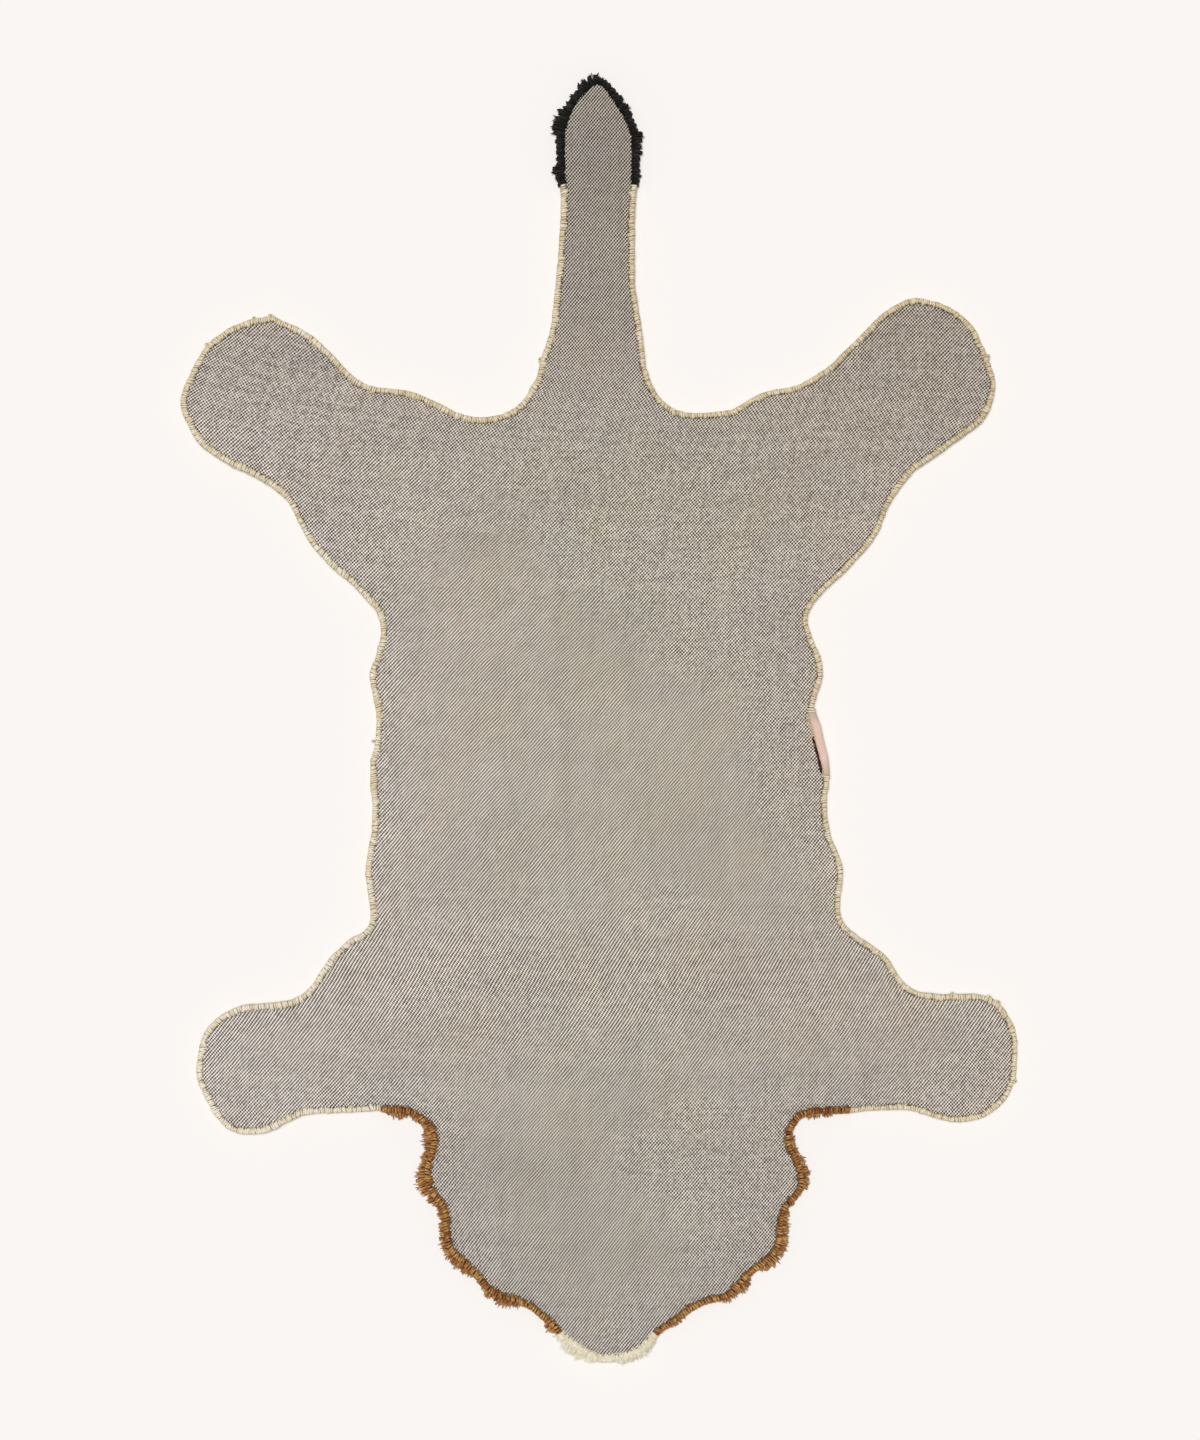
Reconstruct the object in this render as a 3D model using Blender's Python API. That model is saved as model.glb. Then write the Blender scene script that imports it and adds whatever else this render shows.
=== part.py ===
"""A kids' rug cut to the outline of a lion-like animal, lying face down with its woven backing cloth on top.

From the floor up: tufted pile in four colours, the backing cloth, and whipped yarn bindings that wrap the
cloth's cut edge. Longer locks of pile stand out beyond the edge round the mane, the muzzle and the tail tip.
Lengths are in millimetres up to the point where a mesh is written, in metres. +X is the right-hand side
seen from above, +Y the tail end, +Z up.
"""

import math
import random
from collections import namedtuple

import bmesh
import bpy
import numpy as np
from mathutils.geometry import delaunay_2d_cdt

MM = 0.001

# Driving dimensions, in mm.
GAP = 0.3               # clear space between neighbouring pieces
PILE_TOP = 9.4          # height of the pile under the cloth
PILE_RIM = 6.6          # height of the pile under the whipped edge
CLOTH_THICK = 2.0
WHIP_LAP = 8.5          # how far the whipped yarn laps over the cloth, from the finished edge
WHIP_ROLL = 2.2         # thickness of yarn outside the cloth's cut edge
WHIP_THICK = 1.3        # thickness of yarn above and below the cloth
LABEL_THICK = 0.6
LABEL_OVER = 8.8        # how far the label's upper leaf laps over the whipped edge
LABEL_UNDER = 5.5       # how far its under leaf laps back
LABEL_ROUND = 0.4       # drawing-in of the fold's corners
CURVE_PITCH = 3.0       # spacing of the points along the finished edge
LONGEST_STEP = 24.0     # longest straight facet along the edge
SHARPEST_TURN = math.radians(11.0)
SEAM_STEP = 24.0        # spacing along the joins between pile colours
LUMP_PITCH = 24.0       # spacing of the points inside the shaggy pile's floor side
LUMP_HEIGHT = 2.4
LUMP_ACROSS = 17.0      # lump wavelengths over two pi, across, along and askew
LUMP_ALONG = 13.0
LUMP_SKEW = 23.0

# The finished edge, in mm. A row is one section: `along` runs from the muzzle (-) to the tail (+), and
# `across` from the left (-) to the right (+), seen from above.
Section = namedtuple("Section", "along left right")
LegSection = namedtuple("LegSection", "across lower upper")
RumpSection = namedtuple("RumpSection", "across left_along right_along")

TAIL_TIP = (-2, 744)
TAIL = [
    Section(734, -19, 11),
    Section(722, -31, 22),
    Section(700, -41, 35),
    Section(676, -46, 43),
    Section(622, -47, 44),
    Section(544, -48, 42),
    Section(480, -54, 46),
    Section(434, -62, 53),
    Section(400, -75, 59),
    Section(378, -84, 68),
]
RUMP = [
    RumpSection(103, 359, 355),
    RumpSection(133, 352, 354),
    RumpSection(167, 357, 367),
    RumpSection(190, 367, 379),
    RumpSection(212, 377, 385),
    RumpSection(245, 382, 396),
]
HIND_LEG_RIGHT = [
    LegSection(274, 163, 415),
    LegSection(300, 186, 444),
    LegSection(327, 220, 469),
    LegSection(341, 251, 479),
    LegSection(360, 279, 488),
    LegSection(385, 300, 487),
    LegSection(404, 313, 480),
    LegSection(420, 324, 469),
    LegSection(446, 347, 436),
    LegSection(458, 366, 405),
]
HIND_PAW_RIGHT = (462, 387)
HIND_LEG_LEFT = [
    LegSection(-275, 142, 393),
    LegSection(-303, 167, 417),
    LegSection(-329, 193, 439),
    LegSection(-345, 216, 451),
    LegSection(-356, 240, 458),
    LegSection(-368, 259, 463),
    LegSection(-385, 270, 468),
    LegSection(-434, 296, 451),
    LegSection(-464, 318, 422),
    LegSection(-481, 344, 390),
]
HIND_PAW_LEFT = (-487, 368)
FLANKS = [
    Section(124, -259, 244),
    Section(106, -255, 246),
    Section(72, -261, 257),
    Section(50, -265, 261),
    Section(15, -262, 251),
    Section(-20, -262, 260),
    Section(-60, -267, 267),
    Section(-98, -264, 266),
    Section(-140, -269, 271),
    Section(-176, -271, 284),
    Section(-205, -269, 284),
    Section(-230, -267, 284),
]
FORE_LEG_RIGHT = [
    LegSection(292, -457, -246),
    LegSection(314, -456, -264),
    LegSection(335, -455, -277),
    LegSection(350, -455, -302),
    LegSection(364, -457, -315),
    LegSection(390, -463, -319),
    LegSection(418, -469, -319),
    LegSection(440, -465, -320),
    LegSection(460, -454, -327),
    LegSection(473, -443, -338),
    LegSection(484, -420, -364),
]
FORE_PAW_RIGHT = (488, -392)
FORE_LEG_LEFT = [
    LegSection(-274, -457, -246),
    LegSection(-294, -458, -258),
    LegSection(-319, -459, -284),
    LegSection(-340, -462, -315),
    LegSection(-366, -472, -328),
    LegSection(-390, -483, -331),
    LegSection(-415, -484, -332),
    LegSection(-442, -466, -347),
    LegSection(-461, -438, -370),
]
FORE_PAW_LEFT = (-469, -408)
SHOULDER_RIGHT = (245, -459)
SHOULDER_LEFT = (-228, -456)
HEAD = [
    Section(-464, -208, 232),
    Section(-480, -195, 223),
    Section(-499, -196, 225),
    Section(-521, -202, 234),
    Section(-538, -201, 237),
    Section(-553, -194, 231),
    Section(-567, -184, 219),
    Section(-590, -179, 213),
    Section(-615, -174, 208),
    Section(-632, -159, 193),
    Section(-655, -137, 167),
    Section(-669, -120, 153),
    Section(-678, -92, 124),
    Section(-690, -71, 101),
    Section(-702, -58, 85),
    Section(-715, -47, 68),
    Section(-727, -34, 58),
    Section(-737, -18, 42),
    Section(-743, -6, 24),
]
CHIN = (8, -745)

# Where the edge changes colour: points of the outline, right and left.
TAIL_CHANGE = ((44, 622), (-47, 622))
MANE_CHANGE = ((290, -457), (-252, -456))
MUZZLE_CHANGE = ((68, -715), (-47, -715))
# How far the join between two pile colours bows into the rug, as a share of its width.
Join = namedtuple("Join", "tail mane muzzle")
JOIN_BOW = Join(tail=0.1, mane=0.33, muzzle=0.42)

# The label's two ends along the right flank, as points of the outline.
LABEL_ENDS = ((252, 11), (268, -66))

# Locks of long pile: their spacing along the rim, and how far they stand out past the finished edge, in mm.
# The reach is given for every REACH_STEP of the rim, clockwise seen from above.
Shag = namedtuple("Shag", "pitch reach")
REACH_STEP = 15.0
MANE_SHAG_RIGHT = Shag(9.0, [1.5, 4, 4.5, 3, 1, 3, 4, 6.5, 8.5, 6.5, 2.5, 3, 5.5, 7, 8.5, 10, 8.5, 1.5,
                             6, 7, 7, 3, 1.5, 3, 5, 4, 1])
MANE_SHAG_LEFT = Shag(9.0, [6, 6, 4, 3, 9.5, 10, 8.5, 4.5, 6.5, 10, 10.5, 9.5, 8, 7, 7, 11, 12.5, 10, 7.5,
                            9.5, 9.5, 6.5, 6.5, 9.5, 6])
MUZZLE_SHAG = Shag(8.5, [3.5, 6, 9, 7, 4, 5, 9, 9.5, 7.5, 5])
TAIL_SHAG = Shag(8.0, [3, 5, 3.5, 5, 10, 10, 5.5, 4, 7, 7, 4.5, 3.5, 4, 4, 5.5, 5.5, 4, 3, 3])
SHORTEST_LOCK = 3.0
LOCK_VARIES = 0.2       # a lock's length varies by this share of the reach
LOCK_SLANT = math.radians(26.0)
LOCK_SEED = 11

Finish = namedtuple("Finish", "name colour roughness")
BACKING = Finish("woven cotton backing", "A39B8E", 0.92)
CREAM_YARN = Finish("cream wool yarn", "CDBB95", 0.9)
BROWN_YARN = Finish("caramel wool yarn", "9A6230", 0.9)
BLACK_YARN = Finish("black wool yarn", "1E1D1D", 0.9)
WHITE_YARN = Finish("off-white wool yarn", "E4DCC4", 0.9)
RIBBON = Finish("pink woven ribbon", "DDBFAE", 0.75)


# ---- The finished edge as a smooth curve -----------------------------------------------------------------

def outline_points():
    """The charts' points in order, clockwise seen from above, from the tip of the tail."""
    ring = [TAIL_TIP]
    ring += [(row.right, row.along) for row in TAIL]
    ring += [(row.across, row.right_along) for row in RUMP]
    ring += [(row.across, row.upper) for row in HIND_LEG_RIGHT]
    ring += [HIND_PAW_RIGHT]
    ring += [(row.across, row.lower) for row in reversed(HIND_LEG_RIGHT)]
    ring += [(row.right, row.along) for row in FLANKS]
    ring += [(row.across, row.upper) for row in FORE_LEG_RIGHT]
    ring += [FORE_PAW_RIGHT]
    ring += [(row.across, row.lower) for row in reversed(FORE_LEG_RIGHT)]
    ring += [SHOULDER_RIGHT]
    ring += [(row.right, row.along) for row in HEAD]
    ring += [CHIN]
    ring += [(row.left, row.along) for row in reversed(HEAD)]
    ring += [SHOULDER_LEFT]
    ring += [(row.across, row.lower) for row in FORE_LEG_LEFT]
    ring += [FORE_PAW_LEFT]
    ring += [(row.across, row.upper) for row in reversed(FORE_LEG_LEFT)]
    ring += [(row.left, row.along) for row in reversed(FLANKS)]
    ring += [(row.across, row.lower) for row in HIND_LEG_LEFT]
    ring += [HIND_PAW_LEFT]
    ring += [(row.across, row.upper) for row in reversed(HIND_LEG_LEFT)]
    ring += [(-row.across, row.left_along) for row in reversed(RUMP)]
    ring += [(row.left, row.along) for row in reversed(TAIL)]
    return np.array(ring, float)


def spline_span(p0, p1, p2, p3, count):
    """Points of a centripetal Catmull-Rom span from p1 up to, but not with, p2."""
    knots = [0.0]
    for a, b in ((p0, p1), (p1, p2), (p2, p3)):
        knots.append(knots[-1] + math.sqrt(np.linalg.norm(b - a)))
    t0, t1, t2, t3 = knots
    t = np.linspace(t1, t2, count, endpoint=False)[:, None]
    a1 = (t1 - t) / (t1 - t0) * p0 + (t - t0) / (t1 - t0) * p1
    a2 = (t2 - t) / (t2 - t1) * p1 + (t - t1) / (t2 - t1) * p2
    a3 = (t3 - t) / (t3 - t2) * p2 + (t - t2) / (t3 - t2) * p3
    b1 = (t2 - t) / (t2 - t0) * a1 + (t - t0) / (t2 - t0) * a2
    b2 = (t3 - t) / (t3 - t1) * a2 + (t - t1) / (t3 - t1) * a3
    return (t2 - t) / (t2 - t1) * b1 + (t - t1) / (t2 - t1) * b2


def even_curve(points):
    """A closed curve through the points, read at an even pitch and relaxed a little."""
    total = len(points)
    spans = [spline_span(*(points[(i + k) % total] for k in (-1, 0, 1, 2)), count=20) for i in range(total)]
    fine = np.vstack(spans)
    closed = np.vstack([fine, fine[:1]])
    run = np.concatenate([[0.0], np.cumsum(np.linalg.norm(np.diff(closed, axis=0), axis=1))])
    count = int(round(run[-1] / CURVE_PITCH))
    places = np.linspace(0.0, run[-1], count, endpoint=False)
    curve = np.column_stack([np.interp(places, run, closed[:, axis]) for axis in (0, 1)])
    for _ in range(3):
        curve = (np.roll(curve, 1, axis=0) + 2.0 * curve + np.roll(curve, -1, axis=0)) / 4.0
    return curve


class Edge:
    """The finished edge: points, outward normals and turning at an even pitch, clockwise from the tail tip."""

    def __init__(self, points):
        self.point = even_curve(points)
        self.count = len(self.point)
        step = np.roll(self.point, -1, axis=0) - np.roll(self.point, 1, axis=0)
        self.tangent = step / np.linalg.norm(step, axis=1)[:, None]
        self.normal = np.column_stack([-self.tangent[:, 1], self.tangent[:, 0]])
        heading = np.unwrap(np.arctan2(self.tangent[:, 1], self.tangent[:, 0]))
        turn = np.diff(np.append(heading, heading[0] - 2.0 * math.pi))
        self.turn = turn

    def nearest(self, place):
        """Index of the edge point nearest to a place."""
        return int(np.argmin(np.linalg.norm(self.point - np.array(place, float), axis=1)))

    def fitted(self, start, end):
        """Indices from start to end, close together only where the edge turns."""
        length = (end - start) % self.count
        chosen = [start]
        run = 0.0
        turned = 0.0
        for step in range(1, length):
            run += CURVE_PITCH
            turned += abs(self.turn[(start + step) % self.count])
            near_end = length - step < 3
            if (run >= LONGEST_STEP or turned >= SHARPEST_TURN) and not near_end:
                chosen.append((start + step) % self.count)
                run = 0.0
                turned = 0.0
        return chosen + [end % self.count]

    def spaced(self, start, end, pitch):
        """Indices from start to end at an even pitch."""
        length = (end - start) % self.count
        parts = max(2, round(length * CURVE_PITCH / pitch))
        return [(start + round(length * k / parts)) % self.count for k in range(parts + 1)]


# ---- Mesh helpers ----------------------------------------------------------------------------------------

def linear_colour(hex_colour):
    """An sRGB hex colour as linear RGBA."""
    values = [int(hex_colour[k:k + 2], 16) / 255.0 for k in (0, 2, 4)]
    return [v / 12.92 if v <= 0.04045 else ((v + 0.055) / 1.055) ** 2.4 for v in values] + [1.0]


def finish_material(finish):
    """The material for a finish, made once."""
    found = bpy.data.materials.get(finish.name)
    if found:
        return found
    material = bpy.data.materials.new(finish.name)
    material.use_nodes = True
    shader = material.node_tree.nodes["Principled BSDF"]
    shader.inputs["Base Color"].default_value = linear_colour(finish.colour)
    shader.inputs["Roughness"].default_value = finish.roughness
    shader.inputs["Metallic"].default_value = 0.0
    return material


def make_object(name, points, faces, finish):
    """An object from points in mm and faces, with its normals pointing out."""
    shape = bmesh.new()
    verts = [shape.verts.new((x * MM, y * MM, z * MM)) for x, y, z in points]
    for face in faces:
        shape.faces.new([verts[k] for k in face])
    bmesh.ops.recalc_face_normals(shape, faces=shape.faces[:])
    mesh = bpy.data.meshes.new(name)
    shape.to_mesh(mesh)
    shape.free()
    mesh.materials.append(finish_material(finish))
    piece = bpy.data.objects.new(name, mesh)
    bpy.context.collection.objects.link(piece)
    return piece


def capped(outline, inner=()):
    """Triangles that fill a flat outline, using the inner points as well. Indices run on from the outline."""
    flat = [tuple(p) for p in outline] + [tuple(p) for p in inner]
    ring = list(range(len(outline)))
    result = delaunay_2d_cdt(flat, [], [ring], 1, 1e-5)
    triangles = result[2]
    source = [ids[0] for ids in result[3]]
    return [[source[k] for k in triangle] for triangle in triangles]


def inside(x, y, ring):
    """Whether a point lies inside a ring, by counting crossings."""
    nxt = np.roll(ring, -1, axis=0)
    spans = (ring[:, 1] > y) != (nxt[:, 1] > y)
    with np.errstate(divide="ignore", invalid="ignore"):
        at = ring[:, 0] + (y - ring[:, 1]) * (nxt[:, 0] - ring[:, 0]) / (nxt[:, 1] - ring[:, 1])
    return bool(np.count_nonzero(spans & (x < at)) % 2)


def grid_inside(ring, pitch):
    """Points of a square grid inside a ring, clear of its corners by nearly half the pitch."""
    low, high = ring.min(axis=0), ring.max(axis=0)
    found = []
    for y in np.arange(low[1] + 0.5 * pitch, high[1], pitch):
        for x in np.arange(low[0] + 0.5 * pitch, high[0], pitch):
            clearance = np.min(np.hypot(ring[:, 0] - x, ring[:, 1] - y))
            if inside(x, y, ring) and clearance > 0.45 * pitch:
                found.append((x, y))
    return found


def offset_ring(ring, insets):
    """Moves each side of a clockwise ring inwards by its own inset and returns the new corners."""
    ring = np.asarray(ring, float)
    side = np.roll(ring, -1, axis=0) - ring
    side /= np.linalg.norm(side, axis=1)[:, None]
    inward = np.column_stack([side[:, 1], -side[:, 0]])
    moved = []
    for k in range(len(ring)):
        n0, n1 = inward[k - 1], inward[k]
        d0, d1 = insets[k - 1], insets[k]
        cross = n0[0] * n1[1] - n0[1] * n1[0]
        if abs(cross) > 0.2:
            shift = np.linalg.solve(np.array([n0, n1]), np.array([d0, d1]))
        else:
            mean = (n0 + n1) / np.linalg.norm(n0 + n1)
            shift = mean * 0.5 * (d0 + d1) / max(0.5, float(mean @ n1))
        moved.append(ring[k] + shift)
    return np.array(moved)


def swept_bar(name, centres, normals, section, finish):
    """A closed bar: the section, rows of (inset, height), set square to the edge at each centre."""
    size = len(section)
    points = []
    for centre, normal in zip(centres, normals):
        for inset, height in section:
            spot = centre - normal * inset
            points.append((spot[0], spot[1], height))
    faces = [list(range(size)), list(range(len(points) - size, len(points)))]
    for row in range(len(centres) - 1):
        base = row * size
        for k in range(size):
            nxt = (k + 1) % size
            faces.append([base + k, base + nxt, base + size + nxt, base + size + k])
    return make_object(name, points, faces, finish)


# ---- The pieces ------------------------------------------------------------------------------------------

# A corner of a section square to the edge: how far in from the finished edge, and how high.
Level = namedtuple("Level", "inset height")

CLOTH_BOTTOM = PILE_TOP + GAP
CLOTH_TOP = CLOTH_BOTTOM + CLOTH_THICK
CUT_INSET = WHIP_ROLL + GAP
FLANGE_THICK = 0.8 * WHIP_THICK
SHOULDER_THICK = 1.1 * WHIP_THICK
SHOULDER_INSET = 1.2

# The whipped yarn's section: a C round the cloth's cut edge, thinner at its two lips.
WHIP_SECTION = [
    Level(WHIP_LAP, CLOTH_TOP + GAP),
    Level(WHIP_ROLL, CLOTH_TOP + GAP),
    Level(WHIP_ROLL, CLOTH_BOTTOM - GAP),
    Level(WHIP_LAP, CLOTH_BOTTOM - GAP),
    Level(WHIP_LAP, CLOTH_BOTTOM - GAP - FLANGE_THICK),
    Level(SHOULDER_INSET, CLOTH_BOTTOM - GAP - SHOULDER_THICK),
    Level(0.0, 0.5 * (CLOTH_BOTTOM + CLOTH_TOP)),
    Level(SHOULDER_INSET, CLOTH_TOP + GAP + SHOULDER_THICK),
    Level(WHIP_LAP, CLOTH_TOP + GAP + FLANGE_THICK),
]
WHIP_BOTTOM = min(height for _, height in WHIP_SECTION)
WHIP_TOP = max(height for _, height in WHIP_SECTION)


def backing_cloth(edge, picks):
    """The woven cloth: one flat sheet cut inside the whipped edge."""
    rim = edge.point[picks] - edge.normal[picks] * CUT_INSET
    count = len(rim)
    points = [(x, y, CLOTH_TOP) for x, y in rim] + [(x, y, CLOTH_BOTTOM) for x, y in rim]
    top = capped(rim)
    faces = [list(triangle) for triangle in top]
    faces += [[k + count for k in reversed(triangle)] for triangle in top]
    faces += [[k, (k + 1) % count, (k + 1) % count + count, k + count] for k in range(count)]
    return make_object("backing_cloth", points, faces, BACKING)


def binding(name, edge, picks, finish):
    """Whipped yarn along one stretch of the edge, parted by a hair from the next colour."""
    centres = edge.point[picks].copy()
    centres[0] += edge.tangent[picks[0]] * GAP
    centres[-1] -= edge.tangent[picks[-1]] * GAP
    return swept_bar(name, centres, edge.normal[picks], WHIP_SECTION, finish)


def label(edge, picks):
    """A woven ribbon folded lengthways over the whipped edge: an upper leaf, the fold and an under leaf."""
    inner_top = WHIP_TOP + GAP
    inner_low = WHIP_BOTTOM - GAP
    middle = 0.5 * (inner_top + inner_low)
    fold = -GAP - LABEL_THICK
    section = [
        Level(LABEL_OVER, inner_top),
        Level(LABEL_ROUND, inner_top),
        Level(-GAP, middle),
        Level(LABEL_ROUND, inner_low),
        Level(LABEL_UNDER, inner_low),
        Level(LABEL_UNDER, inner_low - LABEL_THICK),
        Level(fold + LABEL_ROUND, inner_low - LABEL_THICK),
        Level(fold, middle),
        Level(fold + LABEL_ROUND, inner_top + LABEL_THICK),
        Level(LABEL_OVER, inner_top + LABEL_THICK),
    ]
    return swept_bar("label", edge.point[picks], edge.normal[picks], section, RIBBON)


def join_line(edge, start, end, bow):
    """Points of the join between two pile colours, square to the edge at both ends. Ends left out."""
    a, b = edge.point[start], edge.point[end]
    width = np.linalg.norm(b - a)
    a_handle = a - edge.normal[start] * bow * width
    b_handle = b - edge.normal[end] * bow * width
    parts = max(3, round(width / SEAM_STEP))
    t = (np.arange(1, parts) / parts)[:, None]
    s = 1.0 - t
    return s**3 * a + 3 * s**2 * t * a_handle + 3 * s * t**2 * b_handle + t**3 * b


def zone_ring(edge, stretches, joins):
    """A pile zone's outline, clockwise: stretches of the rim, each followed by its join.

    Returns the points, and whether the side after each point is on the rim."""
    points, on_rim = [], []
    for picks, join in zip(stretches, joins):
        points += list(edge.point[picks]) + list(join)
        on_rim += [True] * (len(picks) - 1) + [False] * (len(join) + 1)
    return np.array(points), on_rim


def lump_height(x, y):
    """Unevenness of the shaggy pile's floor side: some tufts reach the floor, others stop short."""
    wave = math.sin(x / LUMP_ACROSS + 1.3) * math.cos(y / LUMP_ALONG)
    wave += 0.6 * math.sin((x + 2.0 * y) / LUMP_SKEW)
    return max(0.0, min(LUMP_HEIGHT, LUMP_HEIGHT * 0.7 * wave))


def lock_plan(edge, picks, shag, draw):
    """Length and slant of the lock that grows from the side after each picked point of the rim but the last."""
    plan = []
    for pick in picks[:-1]:
        run = ((pick - picks[0]) % edge.count) * CURVE_PITCH
        reach = float(np.interp(run / REACH_STEP, range(len(shag.reach)), shag.reach))
        length = max(SHORTEST_LOCK, reach * draw.uniform(1.0 - LOCK_VARIES, 1.0 + LOCK_VARIES))
        hollow = sum(edge.turn[(pick + k) % edge.count] for k in range(-3, 6)) / (9.0 * CURVE_PITCH)
        if hollow > 0.0:
            length = min(length, 0.3 / hollow)
        slant = LOCK_SLANT * math.sin(run / 37.0 + 1.9)
        plan.append((length, slant))
    return plan


def pile(name, zone, levels, finish, locks=()):
    """A slab of pile lofted through levels of (inset on the rim, height), from the top to the floor.

    With locks, the last level's wall grows a tapering lock from each rim side, level with the floor."""
    ring, on_rim = zone
    count = len(ring)
    points = []
    for inset, height in levels:
        moved = offset_ring(ring, [inset if rim else GAP for rim in on_rim])
        points += [(x, y, height) for x, y in moved]
    faces = [list(triangle) for triangle in capped([p[:2] for p in points[:count]])]
    last = (len(levels) - 1) * count
    floor_ring = np.array([p[:2] for p in points[last:last + count]])
    lumps = grid_inside(floor_ring, LUMP_PITCH) if locks else []
    floor = capped(floor_ring, lumps)
    lump_base = len(points) - count
    points += [(x, y, lump_height(x, y)) for x, y in lumps]
    faces += [[lump_base + k for k in reversed(triangle)] for triangle in floor]
    rim_sides = [k for k in range(count) if on_rim[k]]
    lock_on = dict(zip(rim_sides, locks))
    for level in range(len(levels) - 1):
        base = level * count
        for k in range(count):
            nxt = (k + 1) % count
            wall = [base + k, base + nxt, base + count + nxt, base + count + k]
            if level == len(levels) - 2 and k in lock_on:
                add_lock(points, faces, wall, *lock_on[k])
            else:
                faces.append(wall)
    return make_object(name, points, faces, finish)


def add_lock(points, faces, root, length, slant):
    """A four-sided lock that grows out of a wall's four corners and lies level on the floor."""
    corner = np.array([points[k] for k in root])
    side = corner[1] - corner[0]
    side /= np.linalg.norm(side)
    outward = np.array([-side[1], side[0], 0.0])
    way = outward * math.cos(slant) + side * math.sin(slant)
    previous = list(root)
    for reach, width, height in ((0.55, 0.74, 0.62), (1.0, 0.2, 0.16)):
        centre = corner[:, :2].mean(axis=0) + way[:2] * length * reach
        ring = []
        for spot in corner:
            flat = centre + (spot[:2] - corner[:, :2].mean(axis=0)) * width
            ring.append(len(points))
            points.append((flat[0], flat[1], spot[2] * height))
        for k in range(4):
            nxt = (k + 1) % 4
            faces.append([previous[k], previous[nxt], ring[nxt], ring[k]])
        previous = ring
    faces.append(previous)


# Pile sections from the top to the floor. The block under the cloth keeps clear of the binding's under lip,
# and the rim below it swells out towards the finished edge, or past it where the pile is shaggy.
BLOCK_INSET = WHIP_LAP + 1.5
STEP_INSET = WHIP_LAP + 1.3
SHORT_PILE = [
    Level(BLOCK_INSET, PILE_TOP),
    Level(STEP_INSET, PILE_RIM),
    Level(1.5, PILE_RIM - 0.4),
    Level(0.8, 0.5 * PILE_RIM),
    Level(2.5, 0.0),
]
SHAGGY_PILE = [
    Level(BLOCK_INSET, PILE_TOP),
    Level(STEP_INSET, PILE_RIM),
    Level(-1.0, PILE_RIM - 0.4),
    Level(-1.0, 0.0),
]


def remove_everything():
    """Clears the scene."""
    for piece in list(bpy.data.objects):
        bpy.data.objects.remove(piece, do_unlink=True)


def build_rug():
    """Makes every piece and sets the rug's middle on the origin."""
    edge = Edge(outline_points())
    tail_r, tail_l = (edge.nearest(place) for place in TAIL_CHANGE)
    mane_r, mane_l = (edge.nearest(place) for place in MANE_CHANGE)
    muzzle_r, muzzle_l = (edge.nearest(place) for place in MUZZLE_CHANGE)

    tail_join = join_line(edge, tail_l, tail_r, JOIN_BOW.tail)
    mane_join = join_line(edge, mane_r, mane_l, JOIN_BOW.mane)
    muzzle_join = join_line(edge, muzzle_r, muzzle_l, JOIN_BOW.muzzle)

    label_top, label_end = (edge.nearest(place) for place in LABEL_ENDS)
    under_label = edge.fitted(label_top, label_end)
    cream_right = edge.fitted(tail_r, label_top)[:-1] + under_label + edge.fitted(label_end, mane_r)[1:]
    stretch = {
        "cream_right": cream_right,
        "mane_right": edge.fitted(mane_r, muzzle_r),
        "muzzle": edge.fitted(muzzle_r, muzzle_l),
        "mane_left": edge.fitted(muzzle_l, mane_l),
        "cream_left": edge.fitted(mane_l, tail_l),
        "tail_tip": edge.fitted(tail_l, tail_r),
    }
    yarns = {
        "cream_right": CREAM_YARN,
        "mane_right": BROWN_YARN,
        "muzzle": WHITE_YARN,
        "mane_left": BROWN_YARN,
        "cream_left": CREAM_YARN,
        "tail_tip": BLACK_YARN,
    }
    pieces = [backing_cloth(edge, [k for picks in stretch.values() for k in picks[:-1]])]
    pieces += [binding("binding_" + name, edge, picks, yarns[name]) for name, picks in stretch.items()]
    pieces.append(label(edge, under_label))
    body = zone_ring(edge, [stretch["cream_right"], stretch["cream_left"]], [mane_join, tail_join])
    pieces.append(pile("pile_body", body, SHORT_PILE, CREAM_YARN))

    draw = random.Random(LOCK_SEED)
    mane_rim_right = edge.spaced(mane_r, muzzle_r, MANE_SHAG_RIGHT.pitch)
    mane_rim_left = edge.spaced(muzzle_l, mane_l, MANE_SHAG_LEFT.pitch)
    muzzle_rim = edge.spaced(muzzle_r, muzzle_l, MUZZLE_SHAG.pitch)
    tail_rim = edge.spaced(tail_l, tail_r, TAIL_SHAG.pitch)
    mane_locks = lock_plan(edge, mane_rim_right, MANE_SHAG_RIGHT, draw)
    mane_locks += lock_plan(edge, mane_rim_left, MANE_SHAG_LEFT, draw)
    muzzle_locks = lock_plan(edge, muzzle_rim, MUZZLE_SHAG, draw)
    tail_locks = lock_plan(edge, tail_rim, TAIL_SHAG, draw)
    mane = zone_ring(edge, [mane_rim_right, mane_rim_left], [muzzle_join, mane_join[::-1]])
    muzzle = zone_ring(edge, [muzzle_rim], [muzzle_join[::-1]])
    tail = zone_ring(edge, [tail_rim], [tail_join[::-1]])
    pieces.append(pile("pile_mane", mane, SHAGGY_PILE, BROWN_YARN, mane_locks))
    pieces.append(pile("pile_muzzle", muzzle, SHAGGY_PILE, WHITE_YARN, muzzle_locks))
    pieces.append(pile("pile_tail_tip", tail, SHAGGY_PILE, BLACK_YARN, tail_locks))

    corners = np.array([v.co for piece in pieces for v in piece.data.vertices])
    middle = 0.5 * (corners.min(axis=0) + corners.max(axis=0))
    rug = bpy.data.objects.new("rug", None)
    bpy.context.collection.objects.link(rug)
    rug.location = (-middle[0], -middle[1], 0.0)
    for piece in pieces:
        piece.parent = rug


remove_everything()
build_rug()
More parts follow.
